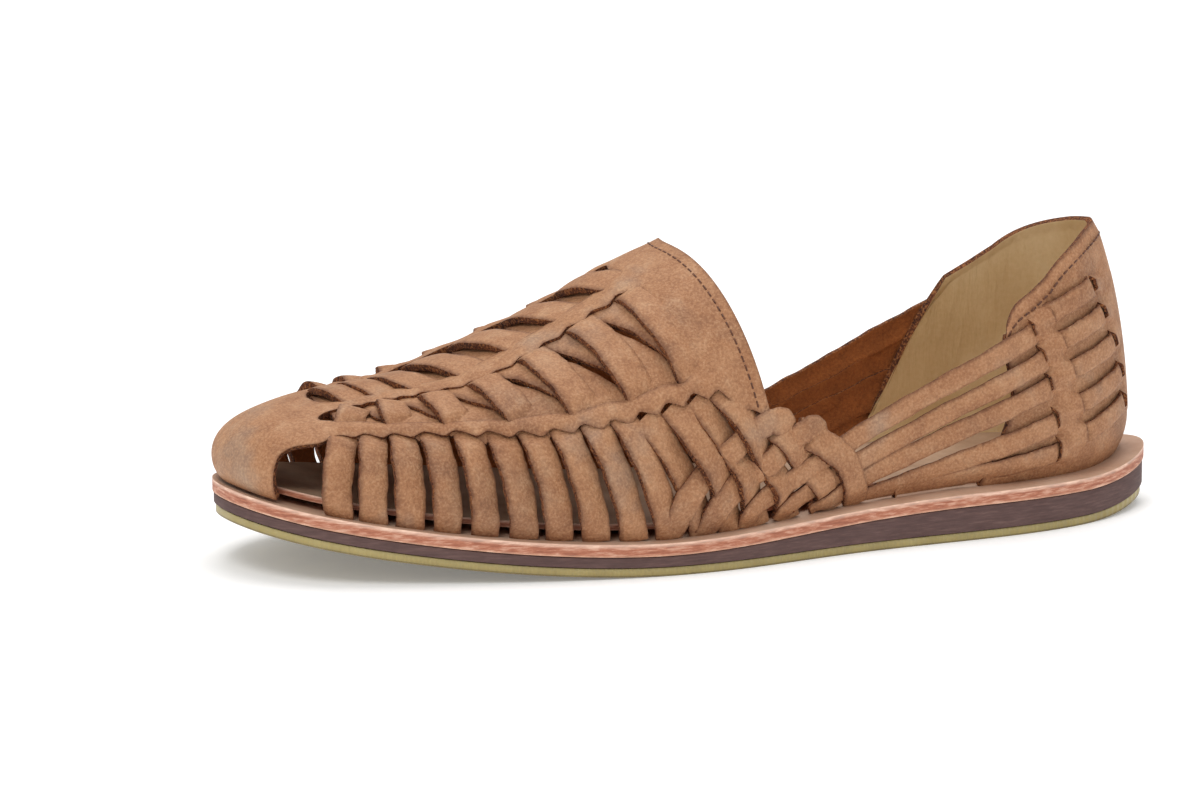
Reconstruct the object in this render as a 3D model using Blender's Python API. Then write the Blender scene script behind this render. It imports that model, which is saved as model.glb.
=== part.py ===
# Huarache sandal, left shoe: a woven leather upper on a leather platform,
# a dark rubber wedge and a thin gum outsole.
# X runs from toe to heel, -Y is the outer (lateral) side, +Z is up.
import bmesh
import bpy
import numpy as np
from mathutils import Vector
from mathutils.bvhtree import BVHTree

# Overall sizes, in metres
LENGTH = 0.292
BALL_WIDTH = 0.1015
# The curved last's lines lie this far to the inner side of the middle of the sole's box
SIDE_SHIFT = 0.0166 * BALL_WIDTH
INSTEP_HEIGHT = 0.0875
TOE_SPRING = 0.0155
HEEL_LIFT = 0.001
ROCKER_START = -0.0685 * LENGTH
ROCKER_POWER = 1.85
HEEL_ROCK_START = 0.394 * LENGTH

# Layers of the sole
OUTSOLE_THICKNESS = 0.0026
BALL_MIDSOLE = 0.0030
HEEL_MIDSOLE = 0.0074
PLATFORM_THICKNESS = 0.0038
LAYER_GAP = 0.0003
WEDGE_START = -0.103 * LENGTH
WEDGE_END = 0.274 * LENGTH
MIDSOLE_INSET = 0.0004
OUTSOLE_INSET = 0.0010

# Leather of the upper
LEATHER = 0.0020
STRIP_WIDTH = 0.0076
WIDE_STRIP = 0.0100
NARROW_WEB_STRIP = 0.0082
ARC_WIDTH = 0.0078
STRAP_WIDTH = 0.0068
WEAVE_WIDTH = 0.0082
MARGIN_WIDTH = 0.0100
MARGIN_THICKNESS = 0.0016

# Share of the joined upper's facets that is kept
UPPER_DETAIL = 0.67

# Footbed
INSOLE_THICKNESS = 0.0020
INSOLE_CLEARANCE = 0.0027

# How far the inner face of each leather layer stands off the last
SIDE_LIFT = 0.0003
BAND_LIFT = 0.0006
WIDE_LIFT = 0.0016
WEB_UNDER = -0.0006
RIDGE_UNDER = -0.0009
ARC_RISE = 0.0022
COUNTER_LIFT = 0.0000
OVER_COUNTER = 0.0022
SHOWN_LIFT = 0.0012
WEAVE_WAVE = 0.0012
# A strip's end is held inside the thickness of the leather it dives under
TUCKED_LIFT = 0.0003
TUCKED_THICKNESS = 0.0014

# The last: plan reach of the two fans of planes that round toe and heel
FAN_TOE_X = -0.3425 * LENGTH
FAN_HEEL_X = 0.3630 * LENGTH
FAN_TOE = 0.2260 * LENGTH
FAN_HEEL = 0.1986 * LENGTH
FAN_BLEND = 0.0411 * LENGTH
TUCK = 0.0035
TUCK_HEIGHT = 0.011
SKIN_FOOT = 0.0007

# Sole outline. along: share of length from the toe. across: share of ball width.
SOLE_OUTLINE = (
    # along, across
    (0.000, 0.045),
    (0.045, -0.245),
    (0.170, -0.405),
    (0.330, -0.500),
    (0.480, -0.513),
    (0.640, -0.425),
    (0.840, -0.355),
    (0.960, -0.195),
    (1.000, 0.000),
    (0.960, 0.195),
    (0.850, 0.340),
    (0.620, 0.315),
    (0.440, 0.395),
    (0.280, 0.487),
    (0.150, 0.440),
    (0.045, 0.290),
)
HEEL_ROW = 8

# Sections of the last. along: share of length from the middle.
# ridge: height of the ridge as a share of instep height. roundness: power of the
# section's curve. ledge: bare sole beyond the upper, share of ball width.
# side: ridge line's offset to the inner side, share of ball width.
LAST_SECTIONS = (
    # along, ridge, roundness, ledge, side
    (-0.500, 0.560, 2.50, 0.012, 0.049),
    (-0.411, 0.538, 2.50, 0.024, 0.049),
    (-0.308, 0.572, 2.40, 0.030, 0.044),
    (-0.188, 0.720, 2.25, 0.032, 0.039),
    (-0.041, 0.972, 2.10, 0.040, 0.030),
    (0.103, 1.170, 2.20, 0.059, 0.020),
    (0.257, 1.257, 2.50, 0.069, 0.005),
    (0.370, 1.257, 2.40, 0.069, 0.000),
    (0.500, 1.177, 2.00, 0.069, 0.000),
)

# Edges of the four long bands of the vamp. along: share of length from the middle.
# The rest: girth share, 0 on the ridge and 1 at the feather edge of the sole.
BANDS = (
    # along, a_low, a_top, b_low, b_top
    (-0.568, 0.620, 0.420, 0.330, 0.200),
    (-0.475, 0.615, 0.400, 0.305, 0.185),
    (-0.435, 0.560, 0.392, 0.255, 0.155),
    (-0.420, 0.505, 0.393, 0.235, 0.145),
    (-0.388, 0.487, 0.400, 0.205, 0.120),
    (-0.345, 0.495, 0.424, 0.188, 0.105),
    (-0.310, 0.508, 0.450, 0.198, 0.125),
    (-0.2835, 0.531, 0.478, 0.218, 0.142),
    (-0.250, 0.573, 0.518, 0.244, 0.150),
    (-0.2146, 0.608, 0.548, 0.238, 0.138),
    (-0.160, 0.634, 0.583, 0.212, 0.122),
    (-0.127, 0.648, 0.594, 0.200, 0.112),
    (-0.080, 0.648, 0.602, 0.192, 0.102),
    (-0.026, 0.660, 0.615, 0.190, 0.098),
    (0.024, 0.755, 0.640, 0.190, 0.095),
)
CAP_END = -0.478
WINDOW_START = -0.462
WINDOW_END = -0.088
THROAT_LINE = -0.031
THROAT_SKEW = 0.082
SKEW_START = -0.257
FEATHER = 1.0

# Cross strips, from the toe: strip i climbs from the sole at its foot, dives under
# band A at its slit and reaches band B. Two pitches, one at the sole, one at band A.
STRIP_COUNT = 14
SIDE_STRIPS = 10
FOOT_START = -0.4125
FOOT_PITCH = 0.0369
SLIT_START = -0.413
SLIT_PITCH_TOE = 0.0350
SLIT_PITCH_THROAT = 0.0262
PAIRS = 7
WIDE_AT_B_START = -0.409
WIDE_AT_B_PITCH = 0.0540
NARROW_AT_B = -0.0257
ARC_FROM_WIDE = 0.0080
ARC_SHIFT = -0.0420
ARC_BEND = 0.0020
ARC_FRONT_LIMIT = -0.470

# Waist weave, lateral side, mirrored to the medial side: four points along each strip.
# The falling strips go down toward the heel, the rising ones start from the sole.
FALLING_STRIPS = (
    # along_top, girth_top, along_upper, girth_upper, along_lower, girth_lower, along_foot
    (-0.1000, 0.655, -0.0636, 0.850, -0.0520, 0.925, -0.0450),
    (-0.0720, 0.650, -0.0264, 0.882, -0.0180, 0.940, -0.0130),
    (-0.0460, 0.650, -0.0215, 0.766, 0.0022, 0.885, 0.0180),
    (-0.0200, 0.650, 0.0206, 0.833, 0.0425, 0.924, 0.0545),
    (0.0320, 0.778, 0.0600, 0.862, 0.0917, 0.950, 0.1053),
    (0.0665, 0.826, 0.0950, 0.876, 0.1192, 0.925, 0.1340),
)
RISING_STRIPS = (
    # along_foot, along_lower, girth_lower, along_upper, girth_upper, along_top, girth_top
    (-0.0800, -0.0591, 0.892, -0.0085, 0.810, 0.0340, 0.780),
    (-0.0420, -0.0220, 0.920, 0.0309, 0.869, 0.0685, 0.826),
)

# Rear straps, from the sole in the waist up to the counter: two points in the weave,
# the slit in the counter's front, then the piece that shows between the two bridges.
REAR_STRAPS = (
    # foot, along_lower, girth_lower, along_waist, girth_waist, girth_slit, girth_rear, girth_end
    (0.0040, 0.0170, 0.953, 0.1242, 0.884, 0.735, 0.702, 0.624),
    (0.0436, 0.0536, 0.975, 0.1166, 0.936, 0.792, 0.764, 0.690),
    (0.0811, 0.1037, 0.986, 0.1544, 0.954, 0.848, 0.824, 0.758),
    (0.1360, 0.1500, 0.993, 0.1900, 0.984, 0.915, 0.890, 0.828),
    (0.1800, 0.2000, 0.997, 0.2400, 0.992, 0.966, 0.944, 0.893),
)
WOVEN_STRAPS = 3
COUNTER_MARGIN = 0.018
STRAP_INTO_SLIT = 0.010
SLIT_ALONG = (0.334, 0.346, 0.353, 0.361, 0.366)
BRIDGE_REAR_ALONG = (0.360, 0.377, 0.392, 0.406, 0.414)
SHOWN_END_ALONG = (0.450, 0.468, 0.489, 0.502, 0.506)
HEEL_ALONG = 0.562

# Heel counter: its topline and its front edge
TOPLINE = (
    # along, girth
    (0.297, 0.745),
    (0.310, 0.700),
    (0.343, 0.644),
    (0.386, 0.571),
    (0.443, 0.504),
    (0.500, 0.460),
    (0.562, 0.438),
)
COUNTER_FRONT = (
    # girth, along
    (0.745, 0.297),
    (0.800, 0.306),
    (0.880, 0.312),
    (0.940, 0.300),
    (1.000, 0.277),
)

HIDE_TAN = (0.42, 0.24, 0.14, 1.0)
NATURAL_TAN = (0.62, 0.42, 0.29, 1.0)
DARK_RUBBER = (0.055, 0.035, 0.032, 1.0)
GUM = (0.40, 0.30, 0.12, 1.0)
FOOTBED_BEIGE = (0.50, 0.38, 0.26, 1.0)


def clear_scene():
    for item in list(bpy.data.objects):
        bpy.data.objects.remove(item, do_unlink=True)
    for mesh in list(bpy.data.meshes):
        bpy.data.meshes.remove(mesh)


def make_material(name, colour, roughness):
    material = bpy.data.materials.new(name)
    material.use_nodes = True
    shader = material.node_tree.nodes["Principled BSDF"]
    shader.inputs["Base Color"].default_value = colour
    shader.inputs["Roughness"].default_value = roughness
    material.diffuse_color = colour
    return material


def column(table, index):
    return np.array([row[index] for row in table], float)


def through_table(at, table, index, key=0):
    """Smooth curve through one column of a table, straight beyond its ends."""
    xs = column(table, key)
    ys = column(table, index)
    at = np.asarray(at, float)
    width = np.diff(xs)
    rate = np.diff(ys) / width
    inner = (rate[:-1] * width[1:] + rate[1:] * width[:-1]) / (width[:-1] + width[1:])
    slope = np.concatenate([rate[:1], inner, rate[-1:]])
    i = np.clip(np.searchsorted(xs, at, side="right") - 1, 0, len(xs) - 2)
    w = width[i]
    u = np.clip((at - xs[i]) / w, 0.0, 1.0)
    inside = (
        (1 + 2 * u) * (1 - u) ** 2 * ys[i]
        + u * (1 - u) ** 2 * w * slope[i]
        + u * u * (3 - 2 * u) * ys[i + 1]
        + u * u * (u - 1) * w * slope[i + 1]
    )
    before = np.minimum(at - xs[0], 0.0) * slope[0]
    after = np.maximum(at - xs[-1], 0.0) * slope[-1]
    return inside + before + after


def closed_spline(points, count):
    """Closed cubic spline through points; returns samples and the points' places."""
    chord = np.linalg.norm(np.roll(points, -1, axis=0) - points, axis=1) ** 0.6
    span = chord / chord.sum()
    knots = np.concatenate([[0.0], np.cumsum(span)[:-1]])
    n = len(points)
    rate = (np.roll(points, -1, axis=0) - points) / span[:, None]
    system = np.zeros((n, n))
    target = np.zeros_like(points)
    for i in range(n):
        before, after = span[i - 1], span[i]
        system[i, i - 1] = after
        system[i, i] = 2.0 * (before + after)
        system[i, (i + 1) % n] = before
        target[i] = 3.0 * (after * rate[i - 1] + before * rate[i])
    slope = np.linalg.solve(system, target)
    at = np.arange(count) / count
    i = np.clip(np.searchsorted(knots, at, side="right") - 1, 0, n - 1)
    u = ((at - knots[i]) / span[i])[:, None]
    w = span[i][:, None]
    j = (i + 1) % n
    curve = (
        (1 + 2 * u) * (1 - u) ** 2 * points[i]
        + u * (1 - u) ** 2 * w * slope[i]
        + u * u * (3 - 2 * u) * points[j]
        + u * u * (u - 1) * w * slope[j]
    )
    return curve, knots


OUTLINE_SAMPLES = 720


def sole_outline():
    rows = np.array(SOLE_OUTLINE)
    across = rows[:, 1] * BALL_WIDTH + SIDE_SHIFT
    points = np.column_stack([(rows[:, 0] - 0.5) * LENGTH, across])
    return closed_spline(points, OUTLINE_SAMPLES)


def inset(curve, distance, reach=1):
    """Move a closed counter-clockwise outline inward by a distance per point."""
    tangent = np.roll(curve, -reach, axis=0) - np.roll(curve, reach, axis=0)
    tangent = tangent / np.linalg.norm(tangent, axis=1)[:, None]
    inward = np.column_stack([-tangent[:, 1], tangent[:, 0]])
    return curve + inward * np.reshape(distance, (-1, 1))


def tread_z(x):
    raised = np.clip((ROCKER_START - x) / (ROCKER_START + LENGTH / 2), 0, 1)
    toe = TOE_SPRING * raised ** ROCKER_POWER
    heel_run = LENGTH / 2 - HEEL_ROCK_START
    heel = HEEL_LIFT * (2 * np.clip((x - HEEL_ROCK_START) / heel_run, 0, 1)) ** 2
    return toe + heel


def midsole_thickness(x):
    share = np.clip((x - WEDGE_START) / (WEDGE_END - WEDGE_START), 0, 1)
    share = share * share * (3 - 2 * share)
    return BALL_MIDSOLE + (HEEL_MIDSOLE - BALL_MIDSOLE) * share


def platform_top(x):
    gaps = 2 * LAYER_GAP
    return tread_z(x) + OUTSOLE_THICKNESS + midsole_thickness(x) + PLATFORM_THICKNESS + gaps


def upper_sides():
    """For each side the outline of the last as (t, point), t running toe to heel."""
    curve, knots = sole_outline()
    ledge = through_table(curve[:, 0] / LENGTH, LAST_SECTIONS, 3) * BALL_WIDTH
    foot = inset(curve, ledge)
    count = len(foot)
    heel = int(round(knots[HEEL_ROW] * count))
    lateral = np.arange(0, heel + 1)
    medial = np.concatenate([[0], np.arange(count - 1, heel - 1, -1)])
    sides = {}
    for side, index in ((-1, lateral), (1, medial)):
        line = foot[index]
        arc = np.linalg.norm(np.diff(line, axis=0), axis=1)
        arc = np.concatenate([[0.0], np.cumsum(arc)])
        front = arc < arc[-1] / 2
        toe_arc = arc[np.argmin(np.where(front, np.abs(line[:, 0] - FAN_TOE_X), 9))]
        heel_arc = arc[np.argmin(np.where(~front, np.abs(line[:, 0] - FAN_HEEL_X), 9))]
        toe_t = FAN_TOE_X - FAN_TOE * (1 - arc / toe_arc)
        heel_t = FAN_HEEL_X + FAN_HEEL * (arc - heel_arc) / (arc[-1] - heel_arc)
        t = np.where(arc < toe_arc, toe_t, np.where(arc > heel_arc, heel_t, line[:, 0]))
        sides[side] = (t, line)
    return sides


SIDES = upper_sides()
TOE_T = FAN_TOE_X - FAN_TOE
HEEL_T = FAN_HEEL_X + FAN_HEEL


def soft_clamp(x, low, high):
    rise = np.log1p(np.exp(np.clip((x - low) / FAN_BLEND, -40, 40)))
    a = low + FAN_BLEND * rise
    fall = np.log1p(np.exp(np.clip((high - a) / FAN_BLEND, -40, 40)))
    return high - FAN_BLEND * fall


def last_point(t, v):
    """Point of the last. t: along its outline, v: -1 lateral edge, 0 ridge, 1 medial."""
    t, v = np.broadcast_arrays(np.asarray(t, float), np.asarray(v, float))
    ox = np.empty(t.shape)
    oy = np.empty(t.shape)
    for side in (-1, 1):
        along, line = SIDES[side]
        here = (v < 0) if side < 0 else (v >= 0)
        ox[here] = np.interp(t[here], along, line[:, 0])
        oy[here] = np.interp(t[here], along, line[:, 1])
    sx = soft_clamp(ox, FAN_TOE_X, FAN_HEEL_X)
    sy = through_table(sx / LENGTH, LAST_SECTIONS, 4) * BALL_WIDTH + SIDE_SHIFT
    angle = np.clip(1 - np.abs(v), 0, 1) * np.pi / 2
    power = 2 / through_table(ox / LENGTH, LAST_SECTIONS, 2)
    out = np.clip(np.cos(angle), 0, 1) ** power
    up = np.sin(angle) ** power
    foot = platform_top(ox) + SKIN_FOOT
    x = sx + (ox - sx) * out
    ridge = through_table(x / LENGTH, LAST_SECTIONS, 1) * INSTEP_HEIGHT
    z = foot + (ridge - foot) * up
    low = np.clip(1 - (z - foot) / TUCK_HEIGHT, 0, 1)
    reach = np.hypot(ox - sx, oy - sy)
    shrink = 1 - TUCK * low ** 2 / reach
    x = sx + (ox - sx) * out * shrink
    y = sy + (oy - sy) * out * shrink
    return np.stack([x, y, z], axis=-1)


def last_frame(t, v):
    """Point, outward normal, and stretch of one unit of t and of v."""
    t, v = np.broadcast_arrays(np.asarray(t, float), np.asarray(v, float))
    point = last_point(t, v)
    side = np.where(v < 0, -1.0, 1.0)
    inner = side * np.clip(np.abs(v), 0.02, 0.99)
    step_t = 0.0005
    step_v = 0.004
    along = last_point(t + step_t, inner) - last_point(t - step_t, inner)
    around = last_point(t, inner + step_v) - last_point(t, inner - step_v)
    normal = np.cross(along, around)
    level = np.clip((1 - np.abs(v)) / 0.10, 0, 1)
    normal[..., 2] = normal[..., 2] * level
    normal = normal / np.maximum(np.linalg.norm(normal, axis=-1, keepdims=True), 1e-12)
    stretch_t = np.linalg.norm(along, axis=-1) / (2 * step_t)
    stretch_v = np.linalg.norm(around, axis=-1) / (2 * step_v)
    return point, normal, stretch_t, stretch_v


def skin(t, v, lift):
    point, normal, _, _ = last_frame(t, v)
    return point + normal * np.broadcast_to(lift, point.shape[:-1])[..., None]


def mesh_object(name, vertices, faces, material, collection):
    mesh = bpy.data.meshes.new(name)
    mesh.from_pydata([tuple(map(float, v)) for v in vertices], [], faces)
    mesh.validate()
    item = bpy.data.objects.new(name, mesh)
    item.data.materials.append(material)
    collection.objects.link(item)
    return item


def ribbon_mesh(left_in, right_in, left_out, right_out):
    """Closed strip with four corners per station."""
    count = len(left_in)
    vertices = np.concatenate([left_in, right_in, right_out, left_out])
    faces = []
    for i in range(count - 1):
        for a in range(4):
            b = (a + 1) % 4
            faces.append((a * count + i, a * count + i + 1, b * count + i + 1, b * count + i))
    faces.append((0, count, 2 * count, 3 * count))
    last = count - 1
    faces.append((3 * count + last, 2 * count + last, count + last, last))
    return vertices, faces


def surface_ribbon(t, v, width, lift, thickness=LEATHER):
    """Strip along a path on the last, level across its width."""
    t = np.asarray(t, float)
    v = np.asarray(v, float)
    _, _, stretch_t, stretch_v = last_frame(t, v)
    run_t = np.gradient(t) * stretch_t
    run_v = np.gradient(v) * stretch_v
    size = np.hypot(run_t, run_v)
    half = np.broadcast_to(width, t.shape) / 2
    shift_t = -run_v / size * half / stretch_t
    shift_v = run_t / size * half / stretch_v
    limit = np.sign(np.where(v == 0, 1, v))
    sides = []
    for sign in (-1, 1):
        tt = t + sign * shift_t
        vv = v + sign * shift_v
        vv = limit * np.clip(limit * vv, 0.001, 1.0)
        sides.append((tt, vv))
    corners = []
    for grow in (0.0, thickness):
        for tt, vv in sides:
            corners.append(skin(tt, vv, lift + grow))
    return ribbon_mesh(corners[0], corners[1], corners[2], corners[3])


def band_edge(t, which):
    return through_table(np.asarray(t) / LENGTH, BANDS, BAND_COLUMNS[which])


BAND_COLUMNS = {"a_low": 1, "a_top": 2, "b_low": 3, "b_top": 4}


def shell_mesh(inner, outer, keep):
    """Closed sheet on a grid: the kept cells, with walls round every opening."""
    rows, columns = inner.shape[:2]
    used = {}
    vertices = []

    def corner(layer, i, j):
        key = (layer, i, j)
        if key not in used:
            used[key] = len(vertices)
            vertices.append((inner, outer)[layer][i, j])
        return used[key]

    def kept(i, j):
        return 0 <= i < rows - 1 and 0 <= j < columns - 1 and keep[i, j]

    faces = []
    for i in range(rows - 1):
        for j in range(columns - 1):
            if not keep[i, j]:
                continue
            ring = ((i, j), (i + 1, j), (i + 1, j + 1), (i, j + 1))
            faces.append(tuple(corner(1, *c) for c in ring))
            faces.append(tuple(corner(0, *c) for c in reversed(ring)))
            beyond = ((i, j - 1), (i + 1, j), (i, j + 1), (i - 1, j))
            for k, other in enumerate(beyond):
                if not kept(*other):
                    a, b = ring[k], ring[(k + 1) % 4]
                    faces.append((corner(0, *a), corner(0, *b), corner(1, *b), corner(1, *a)))
    return vertices, faces


def vamp_shell():
    """Toe cap, four long bands and throat panel, cut from one hide."""
    cap_line = np.array([-0.5685, -0.545, -0.520, -0.497, CAP_END, WINDOW_START])
    body_line = np.linspace(-0.435, WINDOW_END, 10)
    panel_line = np.linspace(WINDOW_END, THROAT_LINE, 3)[1:]
    line = np.concatenate([cap_line, body_line, panel_line])
    line[0] = TOE_T / LENGTH
    low_rows = 3
    grid_v = []
    grid_t = []
    for side in (-1, 1):
        per_side_v = []
        per_side_t = []
        for c in line:
            level = np.zeros(low_rows + 6)
            skew = THROAT_SKEW * np.clip((c - SKEW_START) / (WINDOW_END - SKEW_START), 0, 1) ** 1.5
            t = np.full(level.shape, c)
            for _ in range(3):
                a_low = band_edge(t * LENGTH, "a_low")[low_rows]
                level[: low_rows + 1] = np.linspace(FEATHER, a_low, low_rows + 1)
                level[low_rows + 1] = band_edge(t * LENGTH, "a_top")[low_rows + 1]
                level[low_rows + 2] = band_edge(t * LENGTH, "b_low")[low_rows + 2]
                level[low_rows + 3] = band_edge(t * LENGTH, "b_top")[low_rows + 3]
                level[low_rows + 4] = level[low_rows + 3] * 0.5
                level[low_rows + 5] = 0.002
                t = c + skew * level
            per_side_v.append(side * level)
            per_side_t.append(t * LENGTH)
        grid_v.append(np.array(per_side_v))
        grid_t.append(np.array(per_side_t))
    v = np.concatenate([grid_v[0], grid_v[1][:, ::-1]], axis=1)
    t = np.concatenate([grid_t[0], grid_t[1][:, ::-1]], axis=1)
    return line, t, v, low_rows


def vamp_mesh():
    line, t, v, low_rows = vamp_shell()
    rows, columns = t.shape
    half = columns // 2
    inner = skin(t, v, BAND_LIFT)
    outer = skin(t, v, BAND_LIFT + LEATHER)
    # the middle two columns are one line on the ridge
    for grid in (inner, outer):
        grid[:, half - 1] = 0.5 * (grid[:, half - 1] + grid[:, half])
    inner = np.delete(inner, half, axis=1)
    outer = np.delete(outer, half, axis=1)
    # both halves share the seam line at the toe
    inner[0] = 0.5 * (inner[0] + inner[0, ::-1])
    outer[0] = 0.5 * (outer[0] + outer[0, ::-1])
    columns -= 1
    keep = np.zeros((rows - 1, columns - 1), bool)
    for i in range(rows - 1):
        c = 0.5 * (line[i] + line[i + 1])
        for j in range(columns - 1):
            mirrored = min(j, columns - 2 - j)
            side_part = mirrored < low_rows
            in_web = mirrored == low_rows + 1
            in_centre = mirrored > low_rows + 2
            if side_part:
                keep[i, j] = c < CAP_END
            elif in_web:
                keep[i, j] = c < WINDOW_START or c > WINDOW_END
            elif in_centre:
                keep[i, j] = c > WINDOW_END
            else:
                keep[i, j] = True
    vertices, faces = shell_mesh(inner, outer, keep)
    return join_toe(vertices, faces)


def join_toe(vertices, faces):
    """Merge the points that the two halves share at the toe."""
    points = np.array(vertices)
    key = np.round(points / 2e-6).astype(np.int64)
    seen = {}
    index = []
    kept_points = []
    for k, p in zip(map(tuple, key), points):
        if k not in seen:
            seen[k] = len(kept_points)
            kept_points.append(p)
        index.append(seen[k])
    joined = []
    for face in faces:
        ring = [index[a] for a in face]
        ring = [a for i, a in enumerate(ring) if a != ring[i - 1]]
        if len(set(ring)) > 2:
            joined.append(tuple(ring))
    # a wall met by its own mirror image is inside the sheet: both go
    sets = {}
    for n, face in enumerate(joined):
        sets.setdefault(frozenset(face), []).append(n)
    doubled = {n for group in sets.values() if len(group) > 1 for n in group}
    joined = [face for n, face in enumerate(joined) if n not in doubled]
    return kept_points, joined


def along_line(points, count, side):
    """Even stations on a smooth line through (along, girth) points, as t and v."""
    rows = np.array(points, float)
    place = np.linspace(0, 1, len(rows))
    table = np.column_stack([place, rows])
    at = np.linspace(0, 1, count + 1)
    along = through_table(at, table, 1)
    girth = np.minimum(through_table(at, table, 2), FEATHER)
    return along * LENGTH, side * girth


def slit_along(i):
    """Centre of slit i at band A: the pitch shrinks from toe to throat."""
    shrink = (SLIT_PITCH_THROAT - SLIT_PITCH_TOE) / (STRIP_COUNT - 2)
    return SLIT_START + SLIT_PITCH_TOE * i + shrink * i * (i - 1) / 2


def middle_of_a(along):
    t = along * LENGTH
    return 0.5 * float(band_edge(t, "a_low") + band_edge(t, "a_top"))


def middle_of_b(along):
    t = along * LENGTH
    return 0.5 * float(band_edge(t, "b_low") + band_edge(t, "b_top"))


def wide_at_b(pair):
    return WIDE_AT_B_START + WIDE_AT_B_PITCH * pair


def tucked_ends(place, lift, host_lift, first, last, reach=0.16):
    """Bring a strip's chosen ends into its host's thickness; gives lift and thickness."""
    hold = np.zeros(len(place))
    if first:
        hold = np.maximum(hold, 1 - place / reach)
    if last:
        hold = np.maximum(hold, 1 - (1 - place) / reach)
    hold = np.clip(hold * 1.4, 0, 1)
    low = lift + (host_lift + TUCKED_LIFT - lift) * hold
    thickness = LEATHER + (TUCKED_THICKNESS - LEATHER) * hold
    return low, thickness


def side_strip(i, side):
    """The part of a cross strip between the sole and band A."""
    slit = slit_along(i)
    slit_point = (slit, middle_of_a(slit))
    if i < SIDE_STRIPS:
        points = [(FOOT_START + FOOT_PITCH * i, FEATHER), slit_point]
        count = 4
    else:
        points = falling_line(i - SIDE_STRIPS)
        count = 7
    t, v = along_line(points, count, side)
    place = np.linspace(0, 1, count + 1)
    lift = np.full(count + 1, SIDE_LIFT)
    if i >= SIDE_STRIPS:
        lift = lift + weave_wave(place, i - SIDE_STRIPS, True)
    lift, thickness = tucked_ends(place, lift, BAND_LIFT, False, True)
    return surface_ribbon(t, v, STRIP_WIDTH, lift, thickness)


def web_strip(i, side):
    """The part of a cross strip between bands A and B. Even strips are the wide ones."""
    pair, narrow = divmod(i, 2)
    slit = slit_along(i)
    at_b = wide_at_b(pair) + (NARROW_AT_B if narrow else 0.0)
    t, v = along_line([(slit, middle_of_a(slit)), (at_b, middle_of_b(at_b))], 4, side)
    place = np.linspace(0, 1, 5)
    lift = np.full(len(t), WEB_UNDER if narrow else WIDE_LIFT)
    lift, thickness = tucked_ends(place, lift, BAND_LIFT, True, True, 0.2)
    grow = (pair / (PAIRS - 1)) * 0.5 + 0.5
    width = NARROW_WEB_STRIP if narrow else STRIP_WIDTH + (WIDE_STRIP - STRIP_WIDTH) * grow
    return surface_ribbon(t, v, width, lift, thickness)


def last_tree():
    """The last as a fine mesh, to lay the ridge pieces on from above."""
    t = np.linspace(TOE_T, 0.07 * LENGTH, 130)
    vertices = []
    faces = []
    for side in (-1, 1):
        v = side * np.linspace(1.0, 0.0005, 60)
        grid = last_point(t[:, None], v[None, :])
        base = len(vertices)
        vertices.extend(tuple(p) for p in grid.reshape(-1, 3))
        n = len(v)
        for i in range(len(t) - 1):
            for j in range(n - 1):
                a = base + i * n + j
                faces.append((a, a + n, a + n + 1, a + 1))
    return BVHTree.FromPolygons(vertices, faces)


def drape(tree, plan, lift):
    """Points of a plan line laid on the last and raised along its normal."""
    out = []
    for (x, y), rise in zip(plan, lift):
        above = Vector((x, y, INSTEP_HEIGHT * 2))
        hit, normal, _, _ = tree.ray_cast(above, Vector((0, 0, -1)))
        if hit is None:
            hit, normal, _, _ = tree.find_nearest(Vector((x, y, INSTEP_HEIGHT)))
        if normal.z < 0:
            normal = -normal
        out.append(tuple(hit + normal * float(rise)))
    return np.array(out)


def ridge_ribbon(tree, start, end, bend, width, rise):
    """Strip over the ridge between two plan points; bend moves its middle toward the toe."""
    count = 7
    share = np.linspace(0, 1, count)
    line = start + (end - start) * share[:, None]
    line[:, 0] = line[:, 0] - bend * np.sin(np.pi * share)
    run = np.gradient(line, axis=0)
    run = run / np.linalg.norm(run, axis=1)[:, None]
    across = np.column_stack([-run[:, 1], run[:, 0]]) * (width / 2)
    low, thickness = tucked_ends(share, rise(share), BAND_LIFT, True, True, 0.2)
    corners = []
    for grow in (0.0, thickness):
        for sign in (-1, 1):
            corners.append(drape(tree, line + sign * across, low + grow))
    return ribbon_mesh(corners[1], corners[0], corners[3], corners[2])


def plan_point(along, side):
    point = last_point(along * LENGTH, side * middle_of_b(along))
    return np.array([float(point[0]), float(point[1])])


def straight_under(share):
    return np.full(share.shape, RIDGE_UNDER)


def arched_over(share):
    return RIDGE_UNDER + LEATHER + ARC_RISE * np.sin(np.pi * share)


def ridge_pieces():
    tree = last_tree()
    pieces = []
    for pair in range(PAIRS):
        wide = wide_at_b(pair)
        narrow = wide + NARROW_AT_B
        ends = plan_point(narrow, -1), plan_point(narrow, 1)
        pieces.append(ridge_ribbon(tree, *ends, 0.0, ARC_WIDTH, straight_under))
        arc = wide + ARC_FROM_WIDE
        ends = plan_point(arc, -1), plan_point(max(arc + ARC_SHIFT, ARC_FRONT_LIMIT), 1)
        pieces.append(ridge_ribbon(tree, *ends, ARC_BEND, ARC_WIDTH, arched_over))
    return pieces


def falling_line(index):
    """Points of a falling strip of the waist, from its foot up."""
    row = FALLING_STRIPS[index]
    return [(row[6], FEATHER), (row[4], row[5]), (row[2], row[3]), (row[0], row[1])]


def rising_line(index):
    """Points of a rising strip of the waist, from its foot up."""
    if index < len(RISING_STRIPS):
        row = RISING_STRIPS[index]
        return [(row[0], FEATHER), (row[1], row[2]), (row[3], row[4]), (row[5], row[6])]
    row = REAR_STRAPS[index - len(RISING_STRIPS)]
    return [(row[0], FEATHER), (row[1], row[2]), (row[3], row[4])]


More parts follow.
